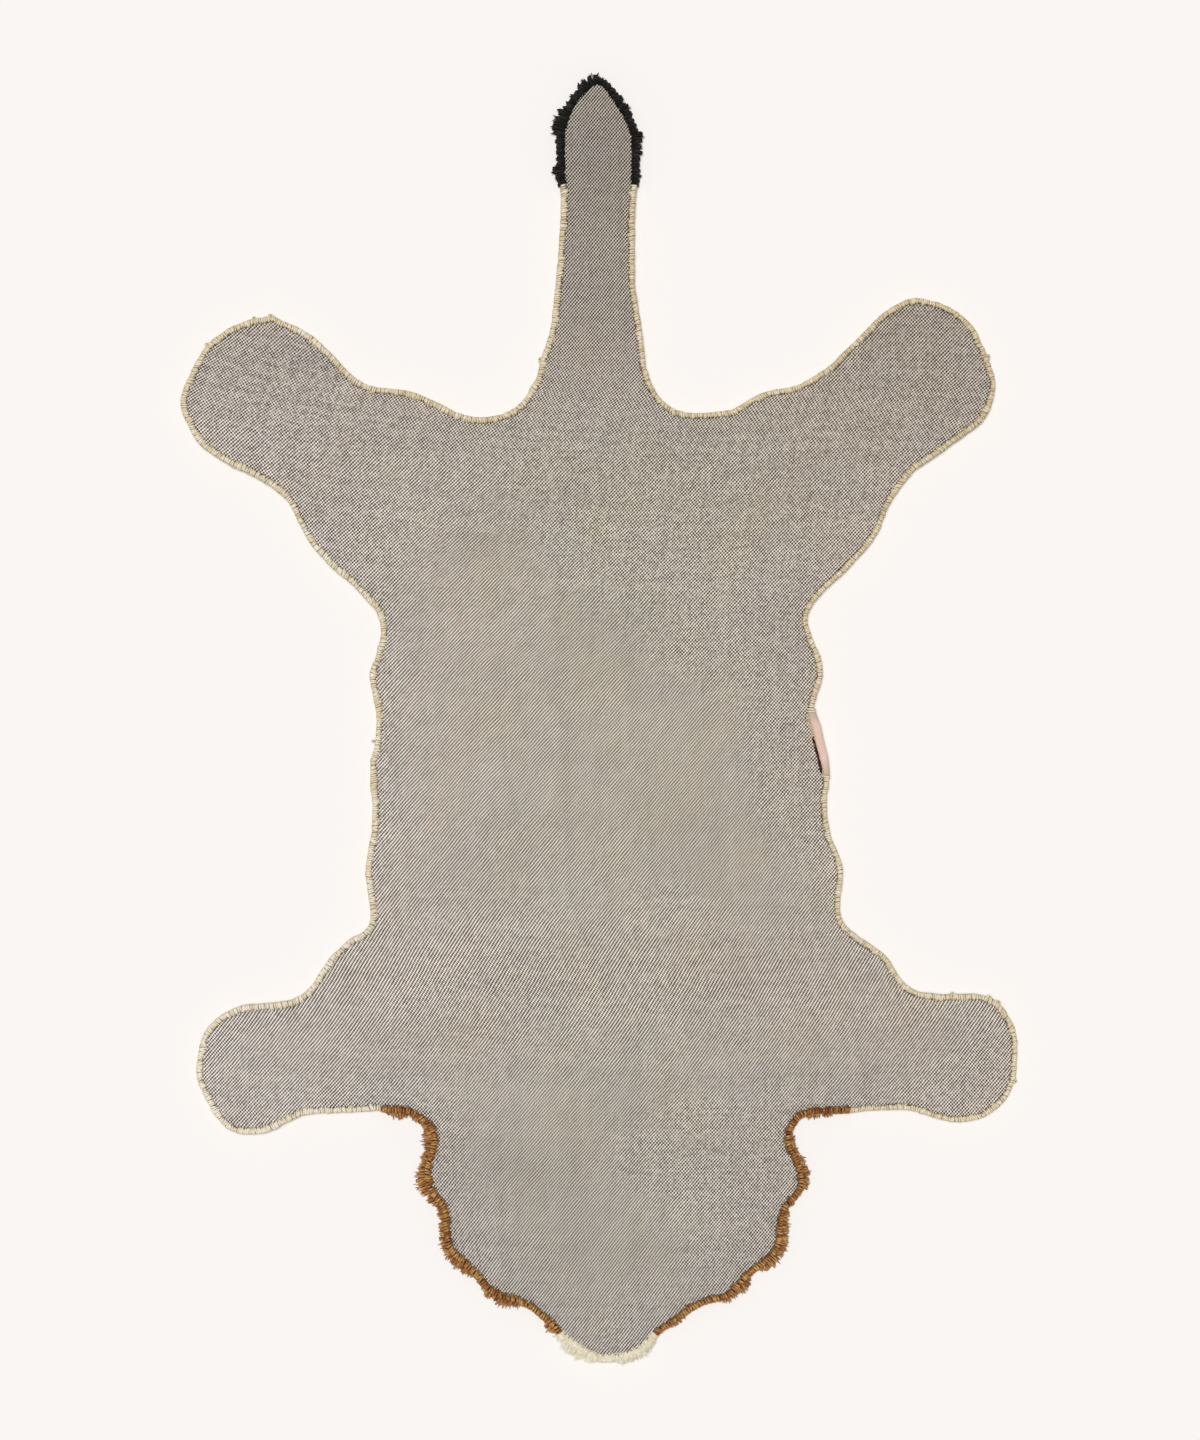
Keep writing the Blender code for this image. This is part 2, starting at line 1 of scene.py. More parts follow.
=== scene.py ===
"""A kids' rug cut to the outline of a lion-like animal, lying face down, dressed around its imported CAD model.

From the floor up: tufted wool pile, the woven backing cloth, yarn whipped over the cloth's cut edge, and a
ribbon label folded over the whipping. Lengths are in mm until a mesh is written. `run` is a distance along
the rug's edge, clockwise seen from above, and `reach` a distance outside that edge.
"""
import math
from collections import namedtuple

import bpy
import numpy as np
from mathutils.geometry import delaunay_2d_cdt
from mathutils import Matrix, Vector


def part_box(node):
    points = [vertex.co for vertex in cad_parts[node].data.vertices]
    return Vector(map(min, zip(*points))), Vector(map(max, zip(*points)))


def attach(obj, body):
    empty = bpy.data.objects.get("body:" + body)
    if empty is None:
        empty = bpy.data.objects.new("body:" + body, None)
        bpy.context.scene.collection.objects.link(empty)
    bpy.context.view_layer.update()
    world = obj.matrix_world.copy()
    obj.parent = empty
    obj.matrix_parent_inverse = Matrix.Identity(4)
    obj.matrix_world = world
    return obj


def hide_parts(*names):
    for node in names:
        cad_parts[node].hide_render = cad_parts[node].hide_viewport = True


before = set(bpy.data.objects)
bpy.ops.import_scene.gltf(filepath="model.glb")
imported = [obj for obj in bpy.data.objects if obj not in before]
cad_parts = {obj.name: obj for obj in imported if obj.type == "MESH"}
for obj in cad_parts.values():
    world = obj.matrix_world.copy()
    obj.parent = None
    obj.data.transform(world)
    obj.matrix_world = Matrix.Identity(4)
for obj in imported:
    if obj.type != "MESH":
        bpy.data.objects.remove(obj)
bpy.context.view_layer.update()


# ---- The cut line ----------------------------------------------------------------------------------------
# Every piece follows the line on which the cloth was cut. It is read from the CAD's backing cloth, which was
# cut 2.5 mm inside the finished, whipped edge, and the CAD's short straight facets are rounded off again.

MM = 0.001
CUT_INSET = 2.5
LINE_PITCH = 1.0
TOP_DEPTH = 0.05            # corners of a node that are no further than this below its top lie on its top


def top_rim(name):
    """Corners round a CAD node's flat top, clockwise seen from above."""
    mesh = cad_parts[name].data
    spots = np.array([corner.co for corner in mesh.vertices]) / MM
    on_top = spots[:, 2] > spots[:, 2].max() - TOP_DEPTH
    keys = [tuple(spot) for spot in np.round(spots[:, :2], 2).tolist()]
    sides = set()
    for face in mesh.polygons:
        ids = list(face.vertices)
        if on_top[ids].all():
            sides.update((keys[a], keys[b]) for a, b in zip(ids, ids[1:] + ids[:1]))
    onward = {b: a for a, b in sides if (b, a) not in sides}
    ring = [next(iter(onward))]
    while onward[ring[-1]] != ring[0]:
        ring.append(onward[ring[-1]])
    return np.array(ring)


def rounded(corners):
    """A smooth closed curve through the corners, read at an even pitch."""
    before, here, after, later = (np.roll(corners, k, axis=0)[:, None] for k in (1, 0, -1, -2))
    back = np.linalg.norm(here - before, axis=2, keepdims=True)
    side = np.linalg.norm(after - here, axis=2, keepdims=True)
    onward = np.linalg.norm(later - after, axis=2, keepdims=True)
    leave = ((here - before) / back * side + (after - here) / side * back) / (back + side)
    arrive = ((after - here) / side * onward + (later - after) / onward * side) / (side + onward)
    t = np.linspace(0.0, 1.0, 30, endpoint=False)[None, :, None]
    curve = (2 * t**3 - 3 * t**2 + 1) * here + (t**3 - 2 * t**2 + t) * side * leave
    curve = curve + (3 * t**2 - 2 * t**3) * after + (t**3 - t**2) * side * arrive
    closed = np.vstack([curve.reshape(-1, 2), curve[0, :1]])
    length = np.append(0.0, np.cumsum(np.linalg.norm(np.diff(closed, axis=0), axis=1)))
    places = np.linspace(0.0, length[-1], round(length[-1] / LINE_PITCH), endpoint=False)
    return np.column_stack([np.interp(places, length, closed[:, axis]) for axis in (0, 1)])


def directions(line, span):
    """Unit directions onward along a closed line, and outward from it."""
    onward = np.roll(line, -span, axis=0) - np.roll(line, span, axis=0)
    onward /= np.linalg.norm(onward, axis=1)[:, None]
    return onward, np.column_stack([-onward[:, 1], onward[:, 0]])


# The shears and the stitches wandered. WANDER is how far the finished edge lies outside the smooth line, as
# measured at every WANDER_PITCH round it.
WANDER_PITCH = 12.0
WANDER = [
    2.5, 2.5, 1.5, 0.5, 1, 1.5, 1.5, 1, 0.5, 0, 0.5, 0, -1.5, -1.5, -2, -2, -1.5, -1, -1, -1.5, -2, -2.5,
    -1.5, -1, -0.5, -0.5, -1, -1.5, -2, -2.5, -1, -0.5, -0.5, -1, -1.5, 0.5, 3, 4, 3.5, 2, -1, 0.5, 2, 1.5,
    0.5, 0, -1.5, -1, 0, 1, 1.5, 1.5, 2.5, 1, 0, -0.5, 0, 1, 1, 1, 0.5, 1.5, 0.5, 0, 0, 1, 1.5, 2, 1.5, -1,
    -1, -1, -1, -1, -2, -2, -1, 0, -1, -2, -2.5, -2, -1.5, -1.5, -2, -3, -2.5, -2, -2, -2.5, -3, -2.5, -1,
    -0.5, -0.5, -0.5, 0, 1, 1.5, 1, 0, -0.5, 0, -2, -2, -2, -1, 0, -1, -1.5, -1.5, -1, -2, -0.5, 0, -1, -1, 0,
    0, -0.5, -0.5, -2, -2, -2, -1, -0.5, 0.5, 1, -0.5, -2, -3.5, -4, -3.5, -3, 0, 2, 3, 3, 1.5, 0, 0, 1, 1, 2,
    1, 1, 0, 0.5, 0, 1, 1.5, 1, -0.5, -1, 0, 0, -1.5, -2.5, -2.5, -1, -1.5, -1.5, -1, -0.5, 0.5, -0.5, -1, 0,
    0, 0, -1, -2, -2, -1, -1, -1, -1, 0, -0.5, 0, 0, -0.5, 0, 0.5, -0.5, -0.5, 1.5, 2, 1, 1, 1, 0.5, -0.5,
    -0.5, 0, 1.5, 1.5, 1, 0.5, -1, -1, 0, 1, 1.5, 1, 0, 0.5, 1, 1, 1, 0, 0.5, 1.5, 2, 2, 1, 1.5, 1.5, 0.5,
    0.5, 1, 2.5, 0, 2.5, 2.5, 1.5, 2, 1.5, 1.5, 2, 2, 0.5, 0, 1, 2, 2.5, 3, 2.5, 1, 0.5, 1, 1.5, 1.5, 1.5, 1,
    1, 1, 1, 2, 1.5, 1, 1.5, 2, -1.5, -1, -1, -1, -1, -1, -2, -3, -2.5, -2, -1, -1.5, -2.5, -2.5, -0.5, 1,
    0.5, 0, -1.5, -1.5, -0.5, 0, -0.5, -1, 0.5, 2, 2, 2, 1, 0.5, 0.5, 1, 1.5, 1.5, 0.5, 0, 0.5, 0, 0, -0.5, 1,
    0, 0.5, 1.5, 0, -1, -0.5, -0.5, 0, 1, 1.5, 0.5, -1, -2, -2.5, -2, -1, 0, 1, 0, 0, 1, -1, -1.5, -2, -2, -2,
    0, 1, 2.5, 2, 0, -0.5, -1.5, -1, 0, -0.5, 0, -0.5, -2, -2, -1.5, -1, -2, -1, -0.5, -1, -1.5, -0.5, -0.5,
    -0.5, 0, -2, -2.5, -3, -2.5, -1.5, -1.5, -1.5, -0.5, 0, -0.5, -1.5, 0, 0.5, 0, 1, -0.5, 0.5, 1.5, 2.5, 2,
    1.5, 1.5, 1, 1.5, 0, 2, -0.5, 0.5, 2, 2.5, 2, 1.5, 1, -1, -1.5, -1, -1, 0, 2, 3.5, 3, 2.5, 2, 2, 2, 1,
    0.5, -0.5, -0.5, 0, 0, 0.5, 0, 0, 0.5, -1.5, -1.5, 1.5, 1.5, 0.5, -0.5, -1, 0, 0.5, 0.5, 0, 0, 0, 0, 0,
    -1, -2, -2, -2, -1, 0.5, 0.5, 0.5, 1.5, 2, 2, 1.5, 1, 1, 1.5, 2.5]

cloth_corners = top_rim("backing_cloth")
tail_end = int(np.argmax(cloth_corners[:, 1]))
cut_line = rounded(np.roll(cloth_corners, -tail_end, axis=0))
edge_length = len(cut_line) * LINE_PITCH
heading, outward = directions(cut_line, 1)
wander = np.interp(np.arange(len(cut_line)) * LINE_PITCH, np.arange(len(WANDER)) * WANDER_PITCH, WANDER)
edge_line = cut_line + outward * (CUT_INSET + wander[:, None])
heading, outward = directions(edge_line, 5)


def at_edge(values, run):
    """Values kept along the edge, such as places or directions, read at distances along it."""
    place = np.mod(np.asarray(run, float) / LINE_PITCH, len(values))
    low = np.floor(place).astype(int) % len(values)
    part = (place - np.floor(place))[..., None]
    return values[low] * (1.0 - part) + values[(low + 1) % len(values)] * part


def beside_edge(run, reach, height):
    """Places at distances along the finished edge, outside it (negative: inside) and above the floor."""
    flat = at_edge(edge_line, run) + at_edge(outward, run) * np.asarray(reach, float)[..., None]
    return np.concatenate([flat, np.broadcast_to(height, flat.shape[:-1])[..., None]], axis=-1)


def along_edge(run):
    """Unit directions along the edge, level."""
    flat = at_edge(heading, run)
    return np.concatenate([flat, np.zeros(flat.shape[:-1] + (1,))], axis=-1)


def node_places(name):
    """A CAD node's corners seen from above, each once."""
    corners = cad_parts[name].data.vertices
    return np.unique(np.round([corner.co[:2] for corner in corners], 4), axis=0) / MM


def run_of(place):
    """Distance along the edge of the point nearest to a place."""
    return float(np.argmin(np.linalg.norm(edge_line - np.asarray(place), axis=1))) * LINE_PITCH


def meeting(one, other):
    """Distance along the edge at which two whipped stretches meet."""
    a, b = node_places("binding_" + one), node_places("binding_" + other)
    gaps = np.linalg.norm(a[:, None] - b[None], axis=2)
    i, j = np.unravel_index(np.argmin(gaps), gaps.shape)
    return run_of((a[i] + b[j]) / 2.0)


AROUND = ["tail_tip", "cream_right", "mane_right", "muzzle", "mane_left", "cream_left"]
begins = [meeting(AROUND[k - 1], name) for k, name in enumerate(AROUND)]
stretch = {}
for k, name in enumerate(AROUND):
    stretch[name] = (begins[k], begins[k] + (begins[(k + 1) % len(AROUND)] - begins[k]) % edge_length)


# ---- Backing cloth ---------------------------------------------------------------------------------------
# The rug's back: one sheet of coarse cotton plain weave, pale threads crossed by dark grey ones, cut to the
# animal's outline. It lies nearly flat on the tufts and is drawn down a little by the whip stitches.


def linear(hex_colour):
    """An sRGB hex colour as linear RGBA."""
    parts = [int(hex_colour[k:k + 2], 16) / 255.0 for k in (0, 2, 4)]
    return [p / 12.92 if p <= 0.04045 else ((p + 0.055) / 1.055) ** 2.4 for p in parts] + [1.0]


def add(material, kind, inputs=None, **settings):
    """Adds a shader node with its settings, and sets or links its inputs, which are named or counted."""
    tree = material.node_tree
    node = tree.nodes.new("ShaderNode" + kind)
    for name, value in settings.items():
        setattr(node, name, value)
    in_use = [socket for socket in node.inputs if socket.enabled]
    for key, value in (inputs or {}).items():
        socket = in_use[key] if isinstance(key, int) else next(s for s in in_use if s.name == key)
        if isinstance(value, bpy.types.Node):
            value = next(s for s in value.outputs if s.enabled)
        if isinstance(value, bpy.types.NodeSocket):
            tree.links.new(value, socket)
        else:
            socket.default_value = value
    return node


def new_material(name):
    """An empty node material."""
    material = bpy.data.materials.new(name)
    material.use_nodes = True
    material.node_tree.nodes.clear()
    return material


show = bpy.context.scene.collection.objects.link


def mesh_piece(name, points, faces, material, **values):
    """A smooth mesh object from points in mm, which keeps the named values: one a point, or one for all."""
    mesh = bpy.data.meshes.new(name)
    mesh.from_pydata((np.asarray(points, float) * MM).tolist(), [], faces)
    mesh.polygons.foreach_set("use_smooth", np.ones(len(mesh.polygons), bool))
    for key, kept in values.items():
        at_each_point = np.full(len(points), kept, np.float32)
        mesh.attributes.new(key, "FLOAT", "POINT").data.foreach_set("value", at_each_point)
    mesh.materials.append(material)
    mesh.update()
    piece = bpy.data.objects.new(name, mesh)
    show(piece)
    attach(piece, "root")
    return piece


def inside(places, ring):
    """Which places lie inside a ring, by counting crossings."""
    x, y = places[:, :1], places[:, 1:]
    ax, ay = ring[None, :, 0], ring[None, :, 1]
    bx, by = np.roll(ring, -1, axis=0)[None, :, 0], np.roll(ring, -1, axis=0)[None, :, 1]
    spans = (ay > y) != (by > y)
    rise = np.where(by == ay, 1.0, by - ay)
    return np.count_nonzero(spans & (x < ax + (y - ay) * (bx - ax) / rise), axis=1) % 2 == 1


def filled(ring, inner):
    """Triangles that fill a flat ring and use the points inside it as well."""
    flat = [tuple(p) for p in np.vstack([ring, inner]).tolist()]
    result = delaunay_2d_cdt(flat, [], [list(range(len(ring)))], 1, 1e-5)
    source = [ids[0] for ids in result[3]]
    return [[source[k] for k in triangle] for triangle in result[2]]


def grid_in(ring, pitch, shift=0.3, seed=1):
    """Points of a square grid inside a ring, each moved at random by a share of the pitch."""
    draw = np.random.default_rng(seed)
    low, high = ring.min(axis=0), ring.max(axis=0)
    x, y = np.meshgrid(np.arange(low[0], high[0], pitch), np.arange(low[1], high[1], pitch))
    spots = np.column_stack([x.ravel(), y.ravel()])
    spots += draw.uniform(-shift, shift, spots.shape) * pitch
    return spots[inside(spots, ring)]


def unevenness(x, y, scale):
    """A smooth, irregular rise and fall from -1 to 1 with waves of about `scale` mm."""
    x, y = x / scale * 2 * math.pi, y / scale * 2 * math.pi
    wave = np.sin(x * 0.83 + 1.7 * np.sin(y * 0.41)) * np.cos(y * 0.77 + 0.6)
    return 0.6 * wave + 0.4 * np.sin(x * 0.37 - y * 1.13 + 1.1 * np.sin(x * 0.29 + 2.0))


CLOTH_LOW, CLOTH_TOP = (corner.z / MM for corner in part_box("backing_cloth"))
CLOTH_GRID = 9.0
RING_PITCH = 3.0
GRID_INSET = 21.0
# Rows of points round the rim: how far in they are, how far the stitches draw the cloth down there, and how
# deep it lies in their shade.
RimRow = namedtuple("RimRow", "inset drawn shade")
RIM_ROWS = [RimRow(3.2, 0.3, 0.9), RimRow(5.2, 0.5, 0.9), RimRow(6.6, 0.7, 0.8), RimRow(7.7, 0.6, 0.4),
            RimRow(8.6, 0.3, 0.0), RimRow(10.5, 0.1, 0.0), RimRow(16.0, 0.0, 0.0)]
MANE_SHADE_ROW = 5          # the rim row that lies in the faint shade of the mane's long stitches
MANE_SHADE = 0.17
TAIL_TIP_SHADE = 0.4        # the share of the shade that shows beside the tail tip's yarn

cloth_runs = np.arange(0.0, edge_length - 0.5 * RING_PITCH, RING_PITCH)
ring_count = len(cloth_runs)
cloth_grid = grid_in(beside_edge(cloth_runs, -GRID_INSET, 0.0)[:, :2], CLOTH_GRID)
cloth_flat = np.vstack([beside_edge(cloth_runs, -row.inset, 0.0)[:, :2] for row in RIM_ROWS] + [cloth_grid])
no_rim = np.zeros(len(cloth_grid))
cloth_drawn = np.append(np.repeat([row.drawn for row in RIM_ROWS], ring_count), no_rim)
cloth_shade = np.append(np.repeat([row.shade for row in RIM_ROWS], ring_count), no_rim)
by_mane = (cloth_runs > stretch["mane_right"][0]) & (cloth_runs < stretch["mane_left"][1])
mane_row = slice(MANE_SHADE_ROW * ring_count, (MANE_SHADE_ROW + 1) * ring_count)
cloth_shade[mane_row] = np.where(by_mane, MANE_SHADE, 0.0)
by_tail_tip = (cloth_runs < stretch["cream_right"][0]) | (cloth_runs > stretch["cream_left"][1])
cloth_shade[:len(RIM_ROWS) * ring_count] *= np.where(np.tile(by_tail_tip, len(RIM_ROWS)), TAIL_TIP_SHADE, 1.0)
across, along = cloth_flat[:, 0], cloth_flat[:, 1]
cloth_rise = CLOTH_TOP + 0.5 * unevenness(across, along, 130.0)
cloth_rise += 0.25 * unevenness(across, along, 34.0) - cloth_drawn
cloth_faces = filled(cloth_flat[:ring_count], cloth_flat[ring_count:])
above = np.column_stack([cloth_flat, cloth_rise])
below = np.column_stack([cloth_flat, np.full(len(cloth_flat), CLOTH_LOW)])
cloth_count = len(cloth_flat)
cloth_faces = cloth_faces + [[k + cloth_count for k in reversed(face)] for face in cloth_faces]
cloth_faces += [[k, (k + 1) % ring_count, (k + 1) % ring_count + cloth_count, k + cloth_count]
                for k in range(ring_count)]

# The cloth was stretched askew. CLIMB is how many degrees its crossing threads climb to the right, at places
# across the rug, and LEAN how many its lengthways threads lean to the right, going up, by the crossing thread
# that they meet, which is named by its height at the rug's middle. The pitches are the spacings of the two
# kinds of thread.
CLIMB = [(-480, -12), (-325, -10), (-232, -6), (-139, -4.5), (-46, -3), (47, -1.2), (140, 1.3), (232, 2),
         (325, 1), (370, -2.5), (480, -4)]
LEAN = [(-750, -6), (-651, -6), (-558, -1), (-490, 2), (-442, -1), (-395, -10), (-349, -19), (-302, -25),
        (-256, -17), (-210, -8), (-140, -8), (-117, -3), (-24, -2), (23, -6), (50, -3), (69, 5), (92, 0),
        (139, -3), (162, 4), (225, 5), (255, 10), (272, -2), (290, 3), (320, 14), (380, 18), (400, 0),
        (440, -1), (470, 8), (750, 8)]
TAIL_ROOT = 380.0
TAIL_HALF = 75.0
LEAN_IN_TAIL = [(-750, 0), (380, 9), (430, 4), (464, 0), (499, -6), (540, -1), (750, 0)]
WARP_PITCH = [(-750, 1.8), (-650, 1.8), (-560, 1.85), (-465, 1.88), (-300, 1.89), (0, 1.93), (370, 1.97),
              (750, 1.97)]
WARP_IN_TAIL = [(-750, 1.97), (370, 1.97), (430, 1.82), (750, 1.82)]
WEFT_PITCH = [(-750, 2.08), (-558, 2.13), (-465, 2.14), (-418, 2.1), (-372, 1.95), (-302, 1.83), (-256, 1.97),
              (-210, 2.03), (-93, 2.08), (0, 2.06), (92, 2.1), (255, 2.12), (370, 2.12), (750, 2.19)]


def summed(chart, place, change):
    """What a chart of (place, value) adds up to from the middle of the rug to each place."""
    steps = np.arange(-800.0, 801.0)
    total = np.cumsum(change(np.interp(steps, *zip(*chart))))
    return np.interp(place, steps, total - total[800])


def slope(degrees):
    return np.tan(np.radians(degrees))


def near_spot(x, y, wide):
    """1 at a spot of the cloth, falling to nothing over about this width."""
    return np.exp(-((across - x)**2 + (along - y)**2) / wide**2)


climb = summed(CLIMB, across, slope) * np.where(across < 0.0, np.interp(along, [-250, 300], [0.55, 1.0]), 1.0)
crossed = along - climb
in_tail = (along > TAIL_ROOT) & (np.abs(across) < TAIL_HALF)
sideways = summed(LEAN, np.where(in_tail, TAIL_ROOT, crossed), slope)
lean_past_root = summed(LEAN_IN_TAIL, along, slope) - summed(LEAN_IN_TAIL, TAIL_ROOT, slope)
sideways += np.where(in_tail, lean_past_root, 0.0)
spacing = np.where(in_tail, np.interp(along, *zip(*WARP_IN_TAIL)), np.interp(crossed, *zip(*WARP_PITCH)))
warp_count = (across - sideways) / spacing
weft_count = summed(WEFT_PITCH, crossed, lambda pitch: 1.0 / pitch)

# Painted light and shade, with uneven tone: the cloth is painted palest on the left fore paw and dullest at the
# tail and the chin, with painted shade beside the left mane, and it has a faintly green cast down its middle
# and a purple one round the outside.
on_left_hind_paw = near_spot(-345.0, 393.0, 95.0)
on_right_hind_paw = near_spot(341.0, 361.0, 95.0)
left_mane_shade = near_spot(-165.0, -575.0, 120.0)
left_of_waist = near_spot(-120.0, -20.0, 170.0)
right, up = across / 1000.0, along / 1000.0
cloth_light_and_tone = 2.3 - 10.0 * right + 21.0 * right**2 - 7.0 * up - 21.0 * up**2 + 3.0 * on_left_hind_paw
cloth_light_and_tone += 2.6 * unevenness(across, along, 210.0) - 10.5 * np.clip((up - 0.3) / 0.2, 0.0, 1.0)
# Painted shade beside the left mane.
cloth_light_and_tone -= 6.0 * left_mane_shade
cloth_light_and_tone += 2.5 * left_of_waist
cloth_light_and_tone = 1.0 + 0.0135 * cloth_light_and_tone
cloth_warmth = 0.42 + 0.7 * right + 0.5 * up + 0.25 * unevenness(along, across, 150.0)
cloth_moss = np.interp(along, [-720.0, -600.0, 250.0, 420.0], [0.4, 1.0, 1.0, 0.0])
cloth_moss *= np.exp(-(across / 215.0)**2)
# The weave is crispest in the tail and worn smooth on the two hind paws.
cloth_bold = 1.0 + 0.6 * np.clip((along - 330.0) / 120.0, 0.0, 1.0) * (np.abs(across) < 90.0)
cloth_bold -= 0.38 * on_left_hind_paw + 0.12 * on_right_hind_paw

# Cotton, plain woven: matt threads with deep, dark gaps between them. A pale thread and a dark grey one take
# turns on top, which reads as a fine chequer, and as slanting rows of dots where the cloth is askew.
weave = new_material("woven cotton backing, pale and grey")
coords = add(weave, "TexCoord").outputs["Object"]
wander = add(weave, "TexNoise", {"Vector": coords, "Scale": 14.0, "Detail": 4.0, "Roughness": 0.62})
wander = add(weave, "SeparateColor", {0: wander.outputs["Color"]})
count = []
for axis, way in (("Red", "warp"), ("Green", "weft")):
    line = add(weave, "Attribute", attribute_name=way).outputs["Fac"]
    count.append(add(weave, "Math", {0: wander.outputs[axis], 1: 1.8, 2: line}, operation="MULTIPLY_ADD"))
rows = []
for sign in ("SUBTRACT", "ADD"):
    turn = add(weave, "Math", {0: count[0], 1: count[1]}, operation=sign)
    turn = add(weave, "Math", {0: turn, 1: math.pi}, operation="MULTIPLY")
    rows.append(add(weave, "Math", {0: turn}, operation="SINE"))
chequer = add(weave, "Mix", {0: 0.59, 1: rows[1], 2: rows[0]})
crossing = [add(weave, "Math", {0: count[0]}, operation="FLOOR"),
            add(weave, "Math", {0: count[1]}, operation="ROUND")]
own = add(weave, "CombineXYZ", {0: crossing[0], 1: crossing[1]})
own = add(weave, "TexWhiteNoise", {"Vector": own}, noise_dimensions="2D")
thick = [add(weave, "TexWhiteNoise", {"W": number}, noise_dimensions="1D") for number in crossing]
slub = add(weave, "CombineXYZ", {0: count[0], 1: count[1]})
slub = add(weave, "VectorMath", {0: slub, 1: (0.08, 0.42, 0.0)}, operation="MULTIPLY")
slub = add(weave, "TexNoise", {"Vector": slub, "Scale": 1.0, "Detail": 2.0, "Roughness": 0.6})
bold = add(weave, "Attribute", attribute_name="bold").outputs["Fac"]
level = add(weave, "Math", {0: chequer, 1: bold}, operation="MULTIPLY")
level = add(weave, "Math", {0: level, 1: 0.89, 2: 0.062}, operation="MULTIPLY_ADD")
level = add(weave, "Math", {0: own.outputs[0], 1: 0.4, 2: level}, operation="MULTIPLY_ADD")
for thread in thick:
    level = add(weave, "Math", {0: thread.outputs[0], 1: 0.075, 2: level}, operation="MULTIPLY_ADD")
level = add(weave, "Math", {0: slub.outputs[0], 1: 0.19, 2: level}, operation="MULTIPLY_ADD", use_clamp=True)
cloth_colour = add(weave, "Mix", {0: level, 1: linear("2A2725"), 2: linear("F7EDDE")}, data_type="RGBA")
warmth = add(weave, "Attribute", attribute_name="warmth").outputs["Fac"]
patch = add(weave, "TexNoise", {"Vector": coords, "Scale": 22.0, "Detail": 2.0})
warmth = add(weave, "Math", {0: patch.outputs[0], 1: 1.2, 2: warmth}, operation="MULTIPLY_ADD")
warmth = add(weave, "Math", {0: warmth, 1: 0.6}, operation="SUBTRACT", use_clamp=True)
patch = add(weave, "Mix", {0: warmth, 1: linear("FAFAFE"), 2: linear("FFFCF6")}, data_type="RGBA")
cloth_colour = add(weave, "Mix", {0: 1.0, 1: cloth_colour, 2: patch}, data_type="RGBA", blend_type="MULTIPLY")
moss = add(weave, "Attribute", attribute_name="moss").outputs["Fac"]
patch = add(weave, "Mix", {0: moss, 1: linear("FFFDFF"), 2: linear("FEFFFE")}, data_type="RGBA")
cloth_colour = add(weave, "Mix", {0: 1.0, 1: cloth_colour, 2: patch}, data_type="RGBA", blend_type="MULTIPLY")
# Painted light and shade: the colour is scaled by the cloth's painted light and uneven tone.
tone = add(weave, "Attribute", attribute_name="tone").outputs["Fac"]
cloth_colour = add(weave, "VectorMath", {0: cloth_colour, "Scale": tone}, operation="SCALE")
# Painted shade: near the rim, patches of the cloth are painted dark brown as the shade of the whip stitches and
# of their needle holes.
rim = add(weave, "Attribute", attribute_name="shade").outputs["Fac"]
rim_shade_patches = add(weave, "TexNoise", {"Vector": coords, "Scale": 330.0, "Detail": 1.0})
rim_shade_patches = add(weave, "MapRange", {"Value": rim_shade_patches.outputs[0], 1: 0.46, 2: 0.58, 3: 0.0, 4: 1.0})
rim = add(weave, "Math", {0: rim, 1: rim_shade_patches}, operation="MULTIPLY")
cloth_colour = add(weave, "Mix", {0: rim, 1: cloth_colour, 2: linear("38281A")}, data_type="RGBA")
cloth_bump = add(weave, "Bump", {"Height": chequer, "Strength": 0.35, "Distance": 0.4 * MM})
cloth_shader = add(weave, "BsdfPrincipled", {"Base Color": cloth_colour, "Roughness": 0.95, "IOR": 1.45,
                                             "Specular IOR Level": 0.2, "Normal": cloth_bump})
add(weave, "OutputMaterial", {"Surface": cloth_shader})

backing = mesh_piece("woven_backing", np.vstack([above, below]), cloth_faces, weave,
                     warp=np.tile(warp_count, 2), weft=np.tile(weft_count, 2),
                     tone=np.tile(cloth_light_and_tone, 2), warmth=np.tile(cloth_warmth, 2),
                     moss=np.tile(cloth_moss, 2), bold=np.tile(cloth_bold, 2),
                     shade=np.append(cloth_shade, np.zeros(cloth_count)))
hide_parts("backing_cloth")
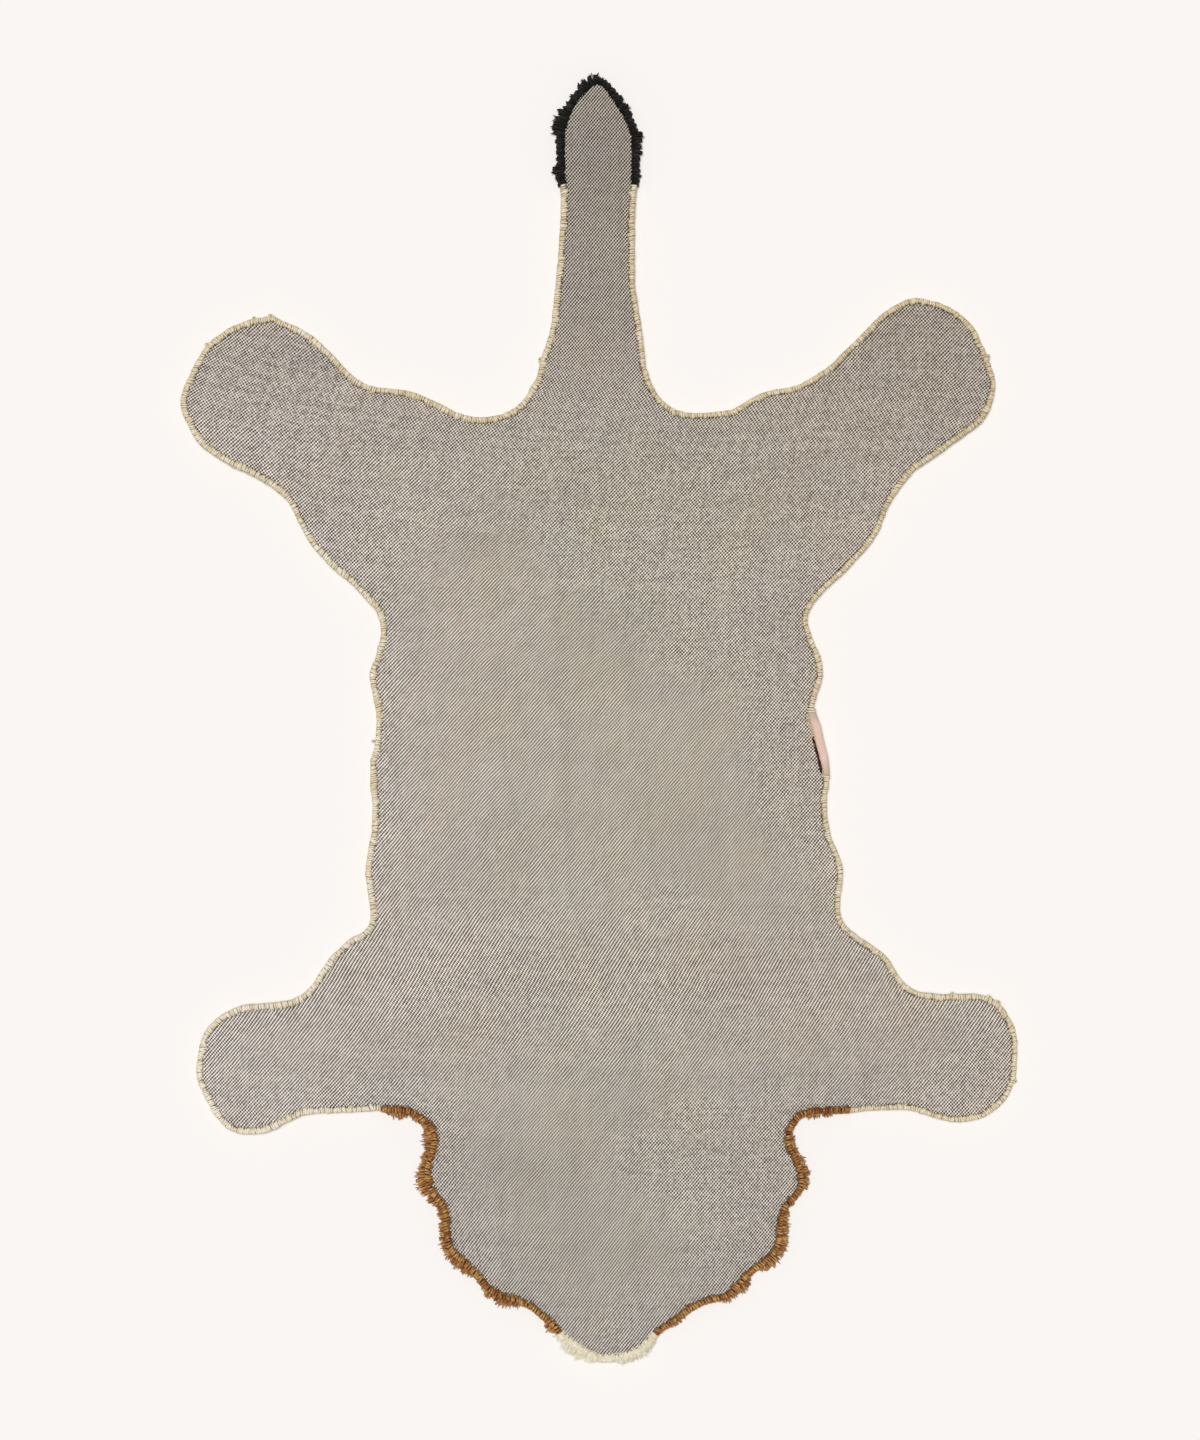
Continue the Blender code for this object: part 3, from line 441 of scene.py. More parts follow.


# ---- Wool yarn -------------------------------------------------------------------------------------------
# All that isn't cloth or ribbon is loosely spun carpet wool in four colours: soft, matt and slightly hairy,
# with painted shade between its strands, and no two turns of it quite alike.


def wool(name, shade, low, middle, light, sheen):
    """Spun wool with painted shade: `depth` is 1 on top of a strand and 0 in a gap, where the shade colour is
    painted, and `tint` is each strand's own.
    """
    yarn = new_material(name)
    place = add(yarn, "TexCoord").outputs["Object"]
    hair = add(yarn, "TexNoise", {"Vector": place, "Scale": 700.0, "Detail": 2.0, "Roughness": 0.7})
    mottle = add(yarn, "TexNoise", {"Vector": place, "Scale": 210.0, "Detail": 3.0, "Roughness": 0.6})
    depth = add(yarn, "Attribute", attribute_name="depth").outputs["Fac"]
    tint = add(yarn, "Attribute", attribute_name="tint").outputs["Fac"]
    tint = add(yarn, "Math", {0: mottle.outputs[0], 1: 1.7, 2: tint}, operation="MULTIPLY_ADD")
    tint = add(yarn, "Math", {0: tint, 1: 0.85}, operation="SUBTRACT", use_clamp=True)
    darker = add(yarn, "MapRange", {"Value": tint, 1: 0.0, 2: 0.5})
    paler = add(yarn, "MapRange", {"Value": tint, 1: 0.5, 2: 1.0})
    body = add(yarn, "Mix", {0: darker, 1: linear(low), 2: linear(middle)}, data_type="RGBA")
    body = add(yarn, "Mix", {0: paler, 1: body, 2: linear(light)}, data_type="RGBA")
    deep = add(yarn, "Math", {0: hair.outputs[0], 1: 0.3, 2: depth}, operation="MULTIPLY_ADD")
    deep = add(yarn, "Math", {0: deep, 1: 0.15}, operation="SUBTRACT", use_clamp=True)
    # Painted shade: where `depth` is low, the yarn's colour turns to its shade colour.
    colour = add(yarn, "Mix", {0: deep, 1: linear(shade), 2: body}, data_type="RGBA")
    dye = add(yarn, "SeparateColor", {0: mottle.outputs[1]})
    dye = add(yarn, "MapRange", {"Value": dye.outputs[1], 1: 0.35, 2: 0.65})
    dye = add(yarn, "Mix", {0: dye, 1: linear("FFF8F2"), 2: linear("FAFCF6")}, data_type="RGBA")
    colour = add(yarn, "Mix", {0: 1.0, 1: colour, 2: dye}, data_type="RGBA", blend_type="MULTIPLY")
    bump = add(yarn, "Bump", {"Height": hair.outputs[0], "Strength": 0.4, "Distance": 0.4 * MM})
    shader = add(yarn, "BsdfPrincipled", {"Base Color": colour, "Roughness": 0.9, "IOR": 1.5,
                                          "Specular IOR Level": 0.25, "Sheen Weight": sheen,
                                          "Sheen Roughness": 0.5, "Normal": bump})
    add(yarn, "OutputMaterial", {"Surface": shader})
    return yarn


cream_wool = wool("cream wool yarn", "9C8658", "D8C6A4", "EEE1C6", "FEF8EC", 0.1)
caramel_wool = wool("caramel wool yarn", "381A08", "7A4422", "AC6E3A", "DCAC68", 0.05)
black_wool = wool("black wool yarn", "040404", "0A0909", "151413", "343230", 0.02)
white_wool = wool("off-white wool yarn", "CEC4A1", "E0D8BD", "F1E9D3", "FFFCF3", 0.1)
YARN = {"tail_tip": black_wool, "cream_right": cream_wool, "mane_right": caramel_wool,
        "muzzle": white_wool, "mane_left": caramel_wool, "cream_left": cream_wool}


def around(sides):
    """Angles at even steps round a strand."""
    return np.linspace(0.0, 2.0 * math.pi, sides, endpoint=False)


def strands(paths, across, half_wide, half_deep, sides):
    """Closed strands of yarn along paths of (strand, station, xyz). Returns points and faces."""
    count, stations = paths.shape[:2]
    across = np.broadcast_to(across, paths.shape)
    half_wide, half_deep = (np.broadcast_to(half, (count, stations)) for half in (half_wide, half_deep))
    onward = np.gradient(paths, axis=1)
    deep = np.cross(onward, across)
    deep /= np.maximum(np.linalg.norm(deep, axis=2, keepdims=True), 1e-9)
    angle = around(sides)
    wide_part = across[:, :, None] * (np.cos(angle)[:, None] * half_wide[:, :, None, None])
    deep_part = deep[:, :, None] * (np.sin(angle)[:, None] * half_deep[:, :, None, None])
    points = (paths[:, :, None] + wide_part + deep_part).reshape(-1, 3)
    first = (np.arange(count)[:, None, None] * stations + np.arange(stations - 1)[None, :, None]) * sides
    k = np.arange(sides)[None, None, :]
    nxt = (k + 1) % sides
    quads = np.stack([first + k, first + nxt, first + sides + nxt, first + sides + k], axis=-1).reshape(-1, 4)
    start = np.arange(count)[:, None] * stations * sides
    caps = np.vstack([start + np.arange(sides)[None, ::-1],
                      start + (stations - 1) * sides + np.arange(sides)])
    return points, quads.tolist() + caps.tolist()


def swept(section, runs, breadth):
    """A closed bar whose section of (inset, height) runs along the edge, at each place with `breadth` of its
    full width. Returns points and faces."""
    rows = [beside_edge(runs, -1.0 - (inset - 1.0) * breadth, height) for inset, height in section]
    points = np.stack(rows, axis=1).reshape(-1, 3)
    size = len(section)
    faces = [list(range(size))[::-1], list(range(len(points) - size, len(points)))]
    for row in range(len(runs) - 1):
        for k in range(size):
            a, b = row * size + k, row * size + (k + 1) % size
            faces.append([a, b, b + size, a + size])
    return points, faces


def joined(parts):
    """Several (points, faces) as one."""
    points, faces, start = [], [], 0
    for some_points, some_faces in parts:
        points.append(some_points)
        faces += [[k + start for k in face] for face in some_faces]
        start += len(some_points)
    return np.vstack(points), faces


def drift(run, scale, seed):
    """A smooth random value from about -1 to 1 along the edge, with waves of about `scale` mm."""
    draw = np.random.default_rng(seed)
    knots = draw.uniform(-1.0, 1.0, max(4, int(edge_length / scale)))
    place = np.mod(np.asarray(run) / edge_length, 1.0) * len(knots)
    low = np.floor(place).astype(int) % len(knots)
    part = place - np.floor(place)
    part = part * part * (3.0 - 2.0 * part)
    return knots[low] * (1.0 - part) + knots[(low + 1) % len(knots)] * part


# ---- Tufted pile -----------------------------------------------------------------------------------------
# The rug's face, which lies on the floor: dense cut tufts of wool, one field for each colour. They show at
# the rim, short and cream under the body's whipping, and from underneath as a field of rounded tuft ends.

PILE_TOP = 9.2
TUFT_PITCH = 6.5
TUFT_SEED = 5
FIELD_INSET = 5.0
RIM_REACH = 12.0            # corners of a pile zone that are nearer to the edge than this lie on its rim


def tuft_field(name, ring, material, swell):
    """A closed slab of tufts inside a ring: flat on top, under the cloth, and knobbly on the floor side."""
    draw = np.random.default_rng(TUFT_SEED)
    inner = grid_in(ring * 0.998 + ring.mean(axis=0) * 0.002, TUFT_PITCH, 0.25, TUFT_SEED)
    flat = np.vstack([ring, inner])
    count, rim = len(flat), len(ring)
    base = np.append(np.full(rim, 1.2), swell * draw.uniform(0.0, 1.0, len(inner)) ** 1.5)
    faces = filled(ring, inner)
    top_faces = filled(ring, ring[:0])
    points = np.vstack([np.column_stack([flat, base]), np.column_stack([ring, np.full(rim, PILE_TOP)])])
    faces = [list(reversed(face)) for face in faces]
    faces += [[k + count for k in face] for face in top_faces]
    faces += [[(k + 1) % rim, k, k + count, (k + 1) % rim + count] for k in range(rim)]
    # Painted shade: darker round the field's rim and at random between the tuft ends.
    knob_shade = np.append(np.append(np.full(rim, 0.4), draw.uniform(0.3, 1.0, len(inner))), np.full(rim, 0.2))
    return mesh_piece(name, points, faces, material, depth=knob_shade, tint=0.4)


def zone_ring(node, inset):
    """A pile zone's outline: the CAD solid's own joins, and its stretches of rim drawn in to an inset."""
    moved = []
    for spot in top_rim(node):
        if np.min(np.linalg.norm(edge_line - spot, axis=1)) < RIM_REACH:
            spot = beside_edge(run_of(spot), -inset, 0.0)[:2]
        moved.append(spot)
    return np.array(moved)


for node, material, slot_name, swell in (("pile_body", cream_wool, "cream_yarn", 1.4),
                                         ("pile_mane", caramel_wool, "caramel_yarn", 2.6),
                                         ("pile_muzzle", white_wool, "white_yarn", 2.0),
                                         ("pile_tail_tip", black_wool, "black_yarn", 2.0)):
    field = tuft_field(node.replace("pile", "tufts"), zone_ring(node, FIELD_INSET), material, swell)
    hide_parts(node)


# Stations along a tuft, from its root to its tip, and how its thickness goes over them.
TUFT_STATIONS = np.array([[0.0, 0.3, 0.58, 0.82, 1.0]])
TUFT_TAPER = np.array([[1.0, 1.0, 0.95, 0.8, 0.35]])
SPIKE_HALF = 2.4            # half the width of the rim whose tufts make one spike


def rim_tufts(name, zone, reach_chart, rows, pitch, thick, seed,
              clump=5.0, gather=0.5, stray=0.12, ragged=0.6, spikes=()):
    """Rows of tufts round a stretch of the rim. `reach_chart` says how far they stand out at every
    REACH_PITCH, and `spikes` where single locks stand out further, as (distance along the stretch, reach).
    The tufts of a clump lean together, and the one in its middle stands out most."""
    draw = np.random.default_rng(seed)
    begin, end = stretch[zone]
    lively = np.random.default_rng(seed + 9).uniform(0.2, 1.7, int((end - begin) / clump) + 2)
    parts, depths, tints = [], [], []
    for root_reach, root_height, tip_height, share, droop, stout, deep in rows:
        run = np.arange(begin + 0.5 * pitch, end - 0.3 * pitch, pitch)
        run = run + draw.uniform(-0.4, 0.4, len(run)) * pitch
        reach = np.interp((run - begin) / REACH_PITCH, np.arange(len(reach_chart)), reach_chart)
        uneven = draw.uniform(0.8, 1.25, len(run)) if stout < 1.3 else 1.0
        group = np.round((run - begin) / clump).astype(int)
        middle = (group + 0.25 * drift(run, clump, seed + 3)) * clump + begin
        peak = lively[group] * (0.5 - 2.0 * np.abs(run - middle) / clump) + 0.6 * drift(run, 4.0, seed)
        tip_reach = reach * share * uneven + peak * ragged * share * np.minimum(reach / 3.0 + 0.15, 1.0)
        drawn = np.full(len(run), gather)
        for offset, far in spikes:
            near = np.abs(run - begin - offset) < SPIKE_HALF
            tip_reach[near] = far * min(share, 1.0) * draw.uniform(0.9, 1.1)
            middle[near] = begin + offset
            drawn[near] = 0.9
        tip_reach = np.maximum(tip_reach, min(reach_chart) + 0.4 * ragged)
        t = TUFT_STATIONS
        pull = (middle - run)[:, None] * drawn[:, None] * t**1.5 / stout
        bend = 0.7 * draw.uniform(-1.0, 1.0, (len(run), 1)) + 0.9 * drift(run, 9.0, seed + 7)[:, None]
        bend = bend * t * stray * (tip_reach[:, None] + 4.0)
        root = root_reach + 0.7 * ragged * draw.uniform(-1.0, 1.0, (len(run), 1))
        out = root + (tip_reach[:, None] - root) * t
        tip = tip_height * draw.uniform(0.6, 1.3, (len(run), 1))
        high = root_height + (tip - root_height) * t**droop + 0.5 * droop * np.sin(t * math.pi)
        runs = np.clip(run[:, None] + pull + bend, begin, end)
        paths = beside_edge(runs, out, high)
        wide = stout * thick * draw.uniform(0.75, 1.25, (len(run), 1)) * TUFT_TAPER
        parts.append(strands(paths, along_edge(runs), wide, wide * 0.6 / stout, 4))
        # Painted light and shade: each tuft is painted darker at its root and paler towards its tip.
        depths.append(np.repeat(np.broadcast_to(deep + (1.0 - deep) * t / stout, wide.shape), 4))
        tint = draw.uniform(0.05, 1.05, (len(run), 1)) + 0.6 * (t - 0.45)
        tints.append(np.repeat(np.clip(tint, 0.0, 1.0), 4))
    points, faces = joined(parts)
    points[:, 2] = np.maximum(points[:, 2], 0.0)
    return mesh_piece(name, points, faces, YARN[zone],
                      depth=np.concatenate(depths), tint=np.concatenate(tints))


# Each row of tufts: reach and height of its roots, height of its tips, its share of the reach, how late it
# droops, how stout its tufts are, and how much light gets down to its roots.
REACH_PITCH = 6.0
SHORT_SEED = 21
LOCK_SEED = 31
SHORT_TUFTS = ((-6.0, 8.0, 4.5, 1.0, 1.4, 1.0, 0.45), (-6.5, 6.0, 1.0, 1.15, 1.4, 1.0, 0.45))
for zone in ("cream_right", "cream_left"):
    tufts = rim_tufts("rim_tufts_" + zone, zone, [-1.0], SHORT_TUFTS, 2.6, 1.5, SHORT_SEED)
    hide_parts("pile_body")

# Long pile round the mane, the muzzle and the tail tip: how far it stands out past the edge, as measured at
# every REACH_PITCH, and the single spikes that stand out further.
MANE_RIGHT_REACH = [
    0.5, 0.5, 1, 0.5, 3, 2.5, 3, 3.5, 3.5, 0.5, 0.5, 0.5, 0.5, 0.5, 1, 4, 2, 2.5, 2.5, 4, 3.5, 5.5, 6, 5, 4,
    1.5, 0.5, 0.5, 2.5, 0.5, 2.5, 4, 6, 5, 6, 5.5, 6.5, 6, 7, 6.5, 7.5, 7, 3.5, 0.5, 0.5, 0.5, 6, 7, 5.5, 4,
    3.5, 4.5, 2, 0.5, 0.5, 0.5, 0.5, 0.5, 0.5, 0.5, 1, 2.5, 3.5, 2, 1, 0.5, 0.5]
MANE_LEFT_REACH = [
    1.5, 3.5, 7, 2.5, 0.5, 0.5, 0.5, 0.5, 0.5, 0.5, 2, 6.5, 7.5, 8, 5.5, 3, 6, 4, 1.5, 2, 3, 4.5, 6.5, 6.5,
    7.5, 8.5, 6.5, 6.5, 5, 5, 4, 4, 3, 4, 6, 3.5, 4.5, 7, 8, 8, 7.5, 10.5, 8.5, 8.5, 6, 6, 4.5, 4.5, 8, 9,
    7.5, 7.5, 4.5, 3, 2.5, 3.5, 4, 1.5, 6, 7.5, 5.5, 3.5, 0.5]
MUZZLE_REACH = [
    0.5, 2.5, 4, 3, 3.5, 6, 5.5, 5, 5, 2.5, 1.5, 1.5, 1.5, 2, 4.5, 6, 8, 7.5, 7.5, 7.5, 5, 3.5]
TAIL_REACH = [
    0.5, 1.5, 2, 6, 1, 1, 1, 1, 1, 3, 5.5, 8, 6.5, 7.5, 7, 5, 2, 2.5, 1.5, 2.5, 4.5, 4.5, 4, 3.5, 1, 0.5, 0.5,
    1, 1.5, 1, 3, 2, 1.5, 2, 1.5, 3.5, 4.5, 3.5, 2.5, 3, 1.5, 1, 1, 2, 1.5]
SPIKES = {"tail_tip": [(12, 4.2), (19, 7), (40, 2.8), (65, 9), (74, 8.4), (167, 4.6), (181, 5), (188, 4.2),
                       (213, 7), (220, 5.6)],
          "mane_right": [(27, 5.2), (89, 5), (125, 6.4), (132, 7.4), (144, 6.2), (167, 3.6), (208, 7.5),
                         (230, 8.3), (248, 8), (279, 8.3), (373, 5)],
          "mane_left": [(80, 9.2), (95, 7.4), (173, 6.5), (202, 6.7), (226, 9.3), (248, 11.5), (353, 8.5)],
          "muzzle": [(86, 6.5)]}
SHAGGY = ((-5.0, 5.5, 3.0, 1.0, 1.0, 1.8, 0.5), (-5.0, 9.8, 8.0, 0.85, 1.8, 0.9, 0.55),
          (-5.0, 8.6, 6.5, 1.1, 1.5, 0.8, 0.55), (-5.0, 7.4, 4.5, 1.3, 1.2, 0.8, 0.5))
SPIKY = ((-5.0, 5.5, 3.0, 0.95, 1.0, 1.9, 0.1), (-5.0, 9.8, 8.0, 0.85, 1.8, 1.05, 0.35),
         (-5.0, 8.6, 6.5, 1.05, 1.5, 0.9, 0.3), (-5.0, 7.4, 4.5, 1.15, 1.2, 0.9, 0.25))
FLUFF = ((-5.0, 6.0, 3.5, 0.65, 1.0, 3.0, 1.0), (-5.0, 9.5, 8.5, 0.85, 1.8, 1.0, 0.95),
         (-5.0, 8.5, 7.0, 1.05, 1.6, 0.9, 0.9), (-5.0, 7.5, 5.5, 1.3, 1.4, 0.6, 0.9),
         (-5.0, 6.5, 3.5, 1.45, 1.2, 0.5, 0.9))
for zone, node, chart, rows, pitch, thick, clump, gather, stray, ragged in (
        ("mane_right", "pile_mane", np.add(MANE_RIGHT_REACH, 0.7), SHAGGY, 2.0, 0.9, 4.2, 0.35, 0.3, 1.4),
        ("mane_left", "pile_mane", MANE_LEFT_REACH, SHAGGY, 2.2, 0.9, 4.2, 0.35, 0.3, 1.4),
        ("muzzle", "pile_muzzle", MUZZLE_REACH, FLUFF, 1.0, 0.5, 3.5, 0.4, 0.45, 1.6),
        ("tail_tip", "pile_tail_tip", np.add(TAIL_REACH, 0.6), SPIKY, 1.6, 0.85, 6.5, 0.85, 0.25, 3.2)):
    tufts = rim_tufts("locks_" + zone, zone, chart, rows, pitch, thick, LOCK_SEED,
                      clump, gather, stray, ragged, SPIKES[zone])
    if zone == "muzzle":
        # Fine fluff catches the light all over, so none of its hairs looks round.
        tufts.data.shade_flat()
    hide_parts(node)


# ---- Whipped edge ----------------------------------------------------------------------------------------
# Yarn stitched over and over the cloth's cut edge by hand, in the colour of the pile below. Each turn comes
# up under the rim, leans forward over the edge and goes down through the cloth, so its inner ends look like
# teeth.

# One turn's centre line as (inset, height), from the cloth's face over the edge and back under it, how much
# light reaches it there and how thick it is. CORE is the section of the plain core under the turns.
TURN = np.array([(7.5, 11.3), (6.8, 12.0), (5.6, 12.6), (4.3, 12.9), (3.0, 12.85), (1.7, 12.3), (1.0, 11.3),
                 (0.9, 10.1), (1.8, 9.1), (4.4, 8.7)])
TURN_DEPTH = np.array([0.65, 0.95, 1.0, 1.0, 1.0, 0.98, 0.8, 0.55, 0.4, 0.4])
TURN_TAPER = np.array([0.45, 0.75, 1.0, 1.0, 1.0, 1.0, 1.0, 1.0, 1.0, 0.8])
CORE = [(6.1, 11.9), (5.5, 12.2), (3.0, 12.3), (1.6, 11.6), (1.4, 10.4), (2.2, 9.4), (6.4, 9.2), (6.4, 9.6),
        (2.9, 9.6), (2.9, 11.9)]
YARN_SIDES = 6
CORE_PITCH = 5.0
HOLE_HEIGHT = 12.1
UPWARD = (0.0, 0.0, 1.0)


def whipping(zone, pitch, thick, wide, further, teeth, gap_shade, dye, seed):
    """The turns of yarn along a stretch of the edge, over a plain core, painted in shade, that closes the gaps
    between them.
    """
    draw = np.random.default_rng(seed)
    begin, end = stretch[zone]
    count = round((end - begin) / pitch)
    run = begin + (np.arange(count) + 0.5) * pitch + draw.uniform(-0.2, 0.2, count) * pitch
    longer = further + teeth * (0.6 * draw.uniform(-1.0, 1.0, count) + 0.7 * drift(run, 6.0, seed))
    bulge = 0.3 * draw.uniform(-1.0, 1.0, count) + 0.35 * drift(run, 8.0, seed + 2)
    usual_inset, usual_height = TURN.T
    inset = usual_inset + longer[:, None] * np.clip((usual_inset - 4.3) / 3.2, 0.0, 1.0)
    inset = inset - bulge[:, None] * np.clip((3.0 - usual_inset) / 2.0, 0.0, 1.0)
    high = usual_height + draw.uniform(-0.2, 0.25, (count, 1)) * (usual_height > 12.0)
    slant = (0.1 + 0.2 * draw.uniform(-1.0, 1.0, count) + 0.25 * drift(run, 30.0, seed + 4))[:, None]
    forward = slant * np.where(np.arange(len(TURN)) < 7, inset - 4.0, 0.4 * (4.0 - inset))
    runs = np.clip(run[:, None] + forward, begin, end)
    paths = beside_edge(runs, -inset, high)
    wide = wide * pitch * draw.uniform(0.85, 1.25, (count, 1)) * TURN_TAPER
    deep = thick * draw.uniform(0.9, 1.15, (count, 1)) * np.maximum(TURN_TAPER, 0.5)
    turns = strands(paths, along_edge(runs), wide, deep, YARN_SIDES)
    core_runs = np.linspace(begin, end, round((end - begin) / CORE_PITCH))
    core = swept(CORE, core_runs, np.ones(len(core_runs)))
    points, faces = joined([turns, core])
    # Painted shade on each turn's sides, where it meets its neighbours, and on its inner ends.
    ridge = 1.0 - gap_shade * (1.0 - np.abs(np.sin(around(YARN_SIDES))))
    lit = np.where(usual_inset > 5.0, 1.0 - 0.5 * gap_shade**3, 1.0) * TURN_DEPTH
    depth = np.tile((lit[:, None] * ridge).ravel(), count)
    # Painted light: the tint is paler towards the rug's lower left and darker towards its upper right.
    place = at_edge(edge_line, run) / 1000.0
    tint = 0.24 * draw.uniform(-1.0, 1.0, count) + 0.1 * drift(run, 7.0, seed + 5)
    tint = dye - 0.3 * place.sum(axis=1) + (tint + 0.1 * drift(run, 25.0, seed + 1))
    tint = np.append(np.repeat(np.clip(tint, 0.0, 1.0), len(TURN) * YARN_SIDES), np.full(len(core[0]), 0.2))
    # The core is painted in shade, as the gaps between the turns.
    depth = np.append(depth, np.full(len(core[0]), 0.5 * (1.0 - gap_shade)))
    piece = mesh_piece("whipping_" + zone, points, faces, YARN[zone], depth=depth, tint=tint)
    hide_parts("binding_" + zone)
    if zone in ("muzzle", "tail_tip"):
        return [piece]
    # Painted shadow: dark slivers in the needle holes beyond the turns' inner ends.
    beyond = inset[:, :1] + draw.uniform(-0.6, 0.2, (count, 1)) + np.array([[-1.1, -0.1, 0.7]])
    beyond_runs = runs[:, :1] + pitch * draw.uniform(0.3, 0.7, (count, 1)) + np.zeros((1, 3))
    dark = draw.uniform(0.05, 0.43, (count, 1)) * np.array([[0.7, 1.0, 0.5]])
    points, faces = strands(beside_edge(beyond_runs, -beyond, HOLE_HEIGHT), along_edge(beyond_runs),
                            dark, dark * 0.2, 4)
    hole_shadows = mesh_piece("needle_hole_shadows_" + zone, points, faces, needle_hole)
    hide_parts("binding_" + zone)
    return [piece, hole_shadows]


# Where the yarn goes down through the cloth, the shadow in each needle hole is painted as a dark sliver between
# its turns.
needle_hole = new_material("shadow in a needle hole")
hole_shader = add(needle_hole, "BsdfPrincipled", {"Base Color": linear("402A16"), "Roughness": 1.0,
                                                  "Specular IOR Level": 0.0})
add(needle_hole, "OutputMaterial", {"Surface": hole_shader})
# How each stretch is whipped: the spacing and thickness of the turns, their width as a share of the spacing,
# how much further in than TURN they reach, by how much more or less, how much shade is painted between strands,
# their tint and the seed.
Whip = namedtuple("Whip", "pitch thick wide further teeth contrast dye seed")
WHIPS = {"cream_right": Whip(2.5, 0.8, 0.53, -0.8, 1.9, 0.55, 0.5, 41),
         "cream_left": Whip(2.5, 0.8, 0.53, 0.3, 1.9, 0.5, 0.52, 42),
         "mane_right": Whip(3.1, 0.95, 0.48, 0.7, 1.4, 0.95, 0.5, 43),
         "mane_left": Whip(3.1, 0.95, 0.48, 1.5, 1.4, 0.95, 0.5, 44),
         "muzzle": Whip(2.2, 0.7, 0.6, -0.7, 2.9, 0.3, 0.1, 45),
         "tail_tip": Whip(2.4, 0.8, 0.6, 0.4, 1.0, 0.6, 0.5, 46)}
whipped = [piece for zone, whip in WHIPS.items() for piece in whipping(zone, *whip)]

# Here and there a new length of cream yarn was knotted on at the rim, and one sewing thread hangs out.
grey_thread = wool("grey-green sewing thread", "3C4438", "59624F", "727C68", "98A28E", 0.0)
KNOTS = {"cream_right": (846, 1763, 1805, 1816, 1912), "cream_left": (4359, 4420, 4438, 4823)}
HANGING_RUN = 3790.0
for zone, knots in KNOTS.items():
    draw = np.random.default_rng(51)
    middle = np.repeat(np.array(knots, float), 3)[:, None]
    t = np.linspace(-1.0, 1.0, 7)[None]
    loop_runs = middle + 2.6 * t + np.tile([-0.9, 0.1, 1.1], len(knots))[:, None] * (1.0 - t**2)
    loop_reach = -1.6 + (1.0 - t**2) * draw.uniform(1.4, 3.2, middle.shape)
    loops = beside_edge(loop_runs, loop_reach, 11.2 + (1.0 - t**2) * draw.uniform(0.2, 1.4, middle.shape))
    loop_wide = np.broadcast_to(1.1 - 0.3 * t**2, loop_runs.shape)
    points, faces = strands(loops, UPWARD, loop_wide, loop_wide, YARN_SIDES)
    # Painted light: each loop's upper side is painted lighter than its under side.
    ridge = np.tile(0.5 + 0.5 * np.clip(np.cos(around(YARN_SIDES)), 0.0, 1.0), loop_wide.size)
    knotted = mesh_piece("knots_" + zone, points, faces, cream_wool, depth=ridge,
                         tint=np.repeat(draw.uniform(0.1, 0.5, loop_wide.size), YARN_SIDES))
    speck_runs = np.array(knots, float)[:, None] + np.array([[-0.5, 0.1, 0.7]])
    specks = beside_edge(speck_runs, np.full(speck_runs.shape, 0.5), 12.9)
    points, faces = strands(specks, UPWARD, 0.5, 0.6, 5)
    speck = mesh_piece("knot_ends_" + zone, points, faces, grey_thread, depth=0.0, tint=0.0)
    for piece in (knotted, speck):
        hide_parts("binding_" + zone)
        whipped.append(piece)
t = np.linspace(0.0, 1.0, 6)[None]
hanging_runs = HANGING_RUN + np.array([[-0.5], [0.2], [0.8]]) + np.array([[-0.9], [0.2], [0.7]]) * t**1.5
hanging = beside_edge(hanging_runs, -1.0 + np.array([[4.4], [5.4], [3.6]]) * t, 9.4 - 3.0 * t**2)
points, faces = strands(hanging, along_edge(hanging_runs), 0.3, 0.3, 5)
loose_thread = mesh_piece("loose_thread", points, faces, grey_thread, depth=0.9, tint=0.4)
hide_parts("binding_cream_left")
whipped.append(loose_thread)

# On the muzzle and the tail tip the yarn was brushed out: loose ends lie over the stitches and past the edge.
LAID_OVER = ((-8.4, 12.0, 9.0, 0.3, 3.2, 1.0, 0.8), (-7.0, 12.6, 8.5, 0.6, 3.2, 1.0, 0.9),
             (-5.0, 12.8, 7.5, 0.9, 2.6, 1.0, 0.9))
for zone, chart, rows, pitch, thick, stray, ragged in (
        ("muzzle", MUZZLE_REACH, LAID_OVER, 1.2, 0.5, 0.4, 2.2),
        ("tail_tip", TAIL_REACH, LAID_OVER[1:], 2.2, 0.8, 0.2, 2.4)):
    loose = rim_tufts("brushed_" + zone, zone, chart, rows, pitch, thick, LOCK_SEED,
                      stray=stray, ragged=ragged, spikes=SPIKES[zone])
    if zone == "muzzle":
        loose.data.shade_flat()
    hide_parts("binding_" + zone)
    whipped.append(loose)


# ---- Ribbon label ----------------------------------------------------------------------------------------
# A short length of dusty pink woven ribbon, folded lengthways over the whipped edge of the right flank and
# sewn down along its upper leaf. It is left bare.

RIBBON = [(9.4, 13.9), (6.0, 14.05), (3.0, 14.1), (1.0, 13.9), (-0.5, 13.0), (-0.95, 11.6), (-0.95, 9.8),
          (-0.4, 8.3), (1.2, 7.45), (5.4, 7.2), (5.4, 7.6), (1.4, 7.85), (0.0, 8.6), (-0.5, 9.9),
          (-0.5, 11.5), (-0.1, 12.7), (1.2, 13.5), (3.0, 13.65), (6.0, 13.6), (9.4, 13.45)]
label_spots = [run_of(spot) for spot in node_places("label")]
label_begin, label_end = min(label_spots), max(label_spots)
woven_ribbon = new_material("woven pink ribbon")
place = add(woven_ribbon, "TexCoord").outputs["Object"]
ribs = add(woven_ribbon, "TexWave", {"Vector": place, "Scale": 520.0, "Distortion": 1.5, "Detail": 1.0},
           bands_direction="Y")
cloudy = add(woven_ribbon, "TexNoise", {"Vector": place, "Scale": 120.0, "Detail": 3.0})
ribbon_tone = add(woven_ribbon, "Math", {0: ribs.outputs[1], 1: 0.3, 2: cloudy.outputs[0]},
                  operation="MULTIPLY_ADD")
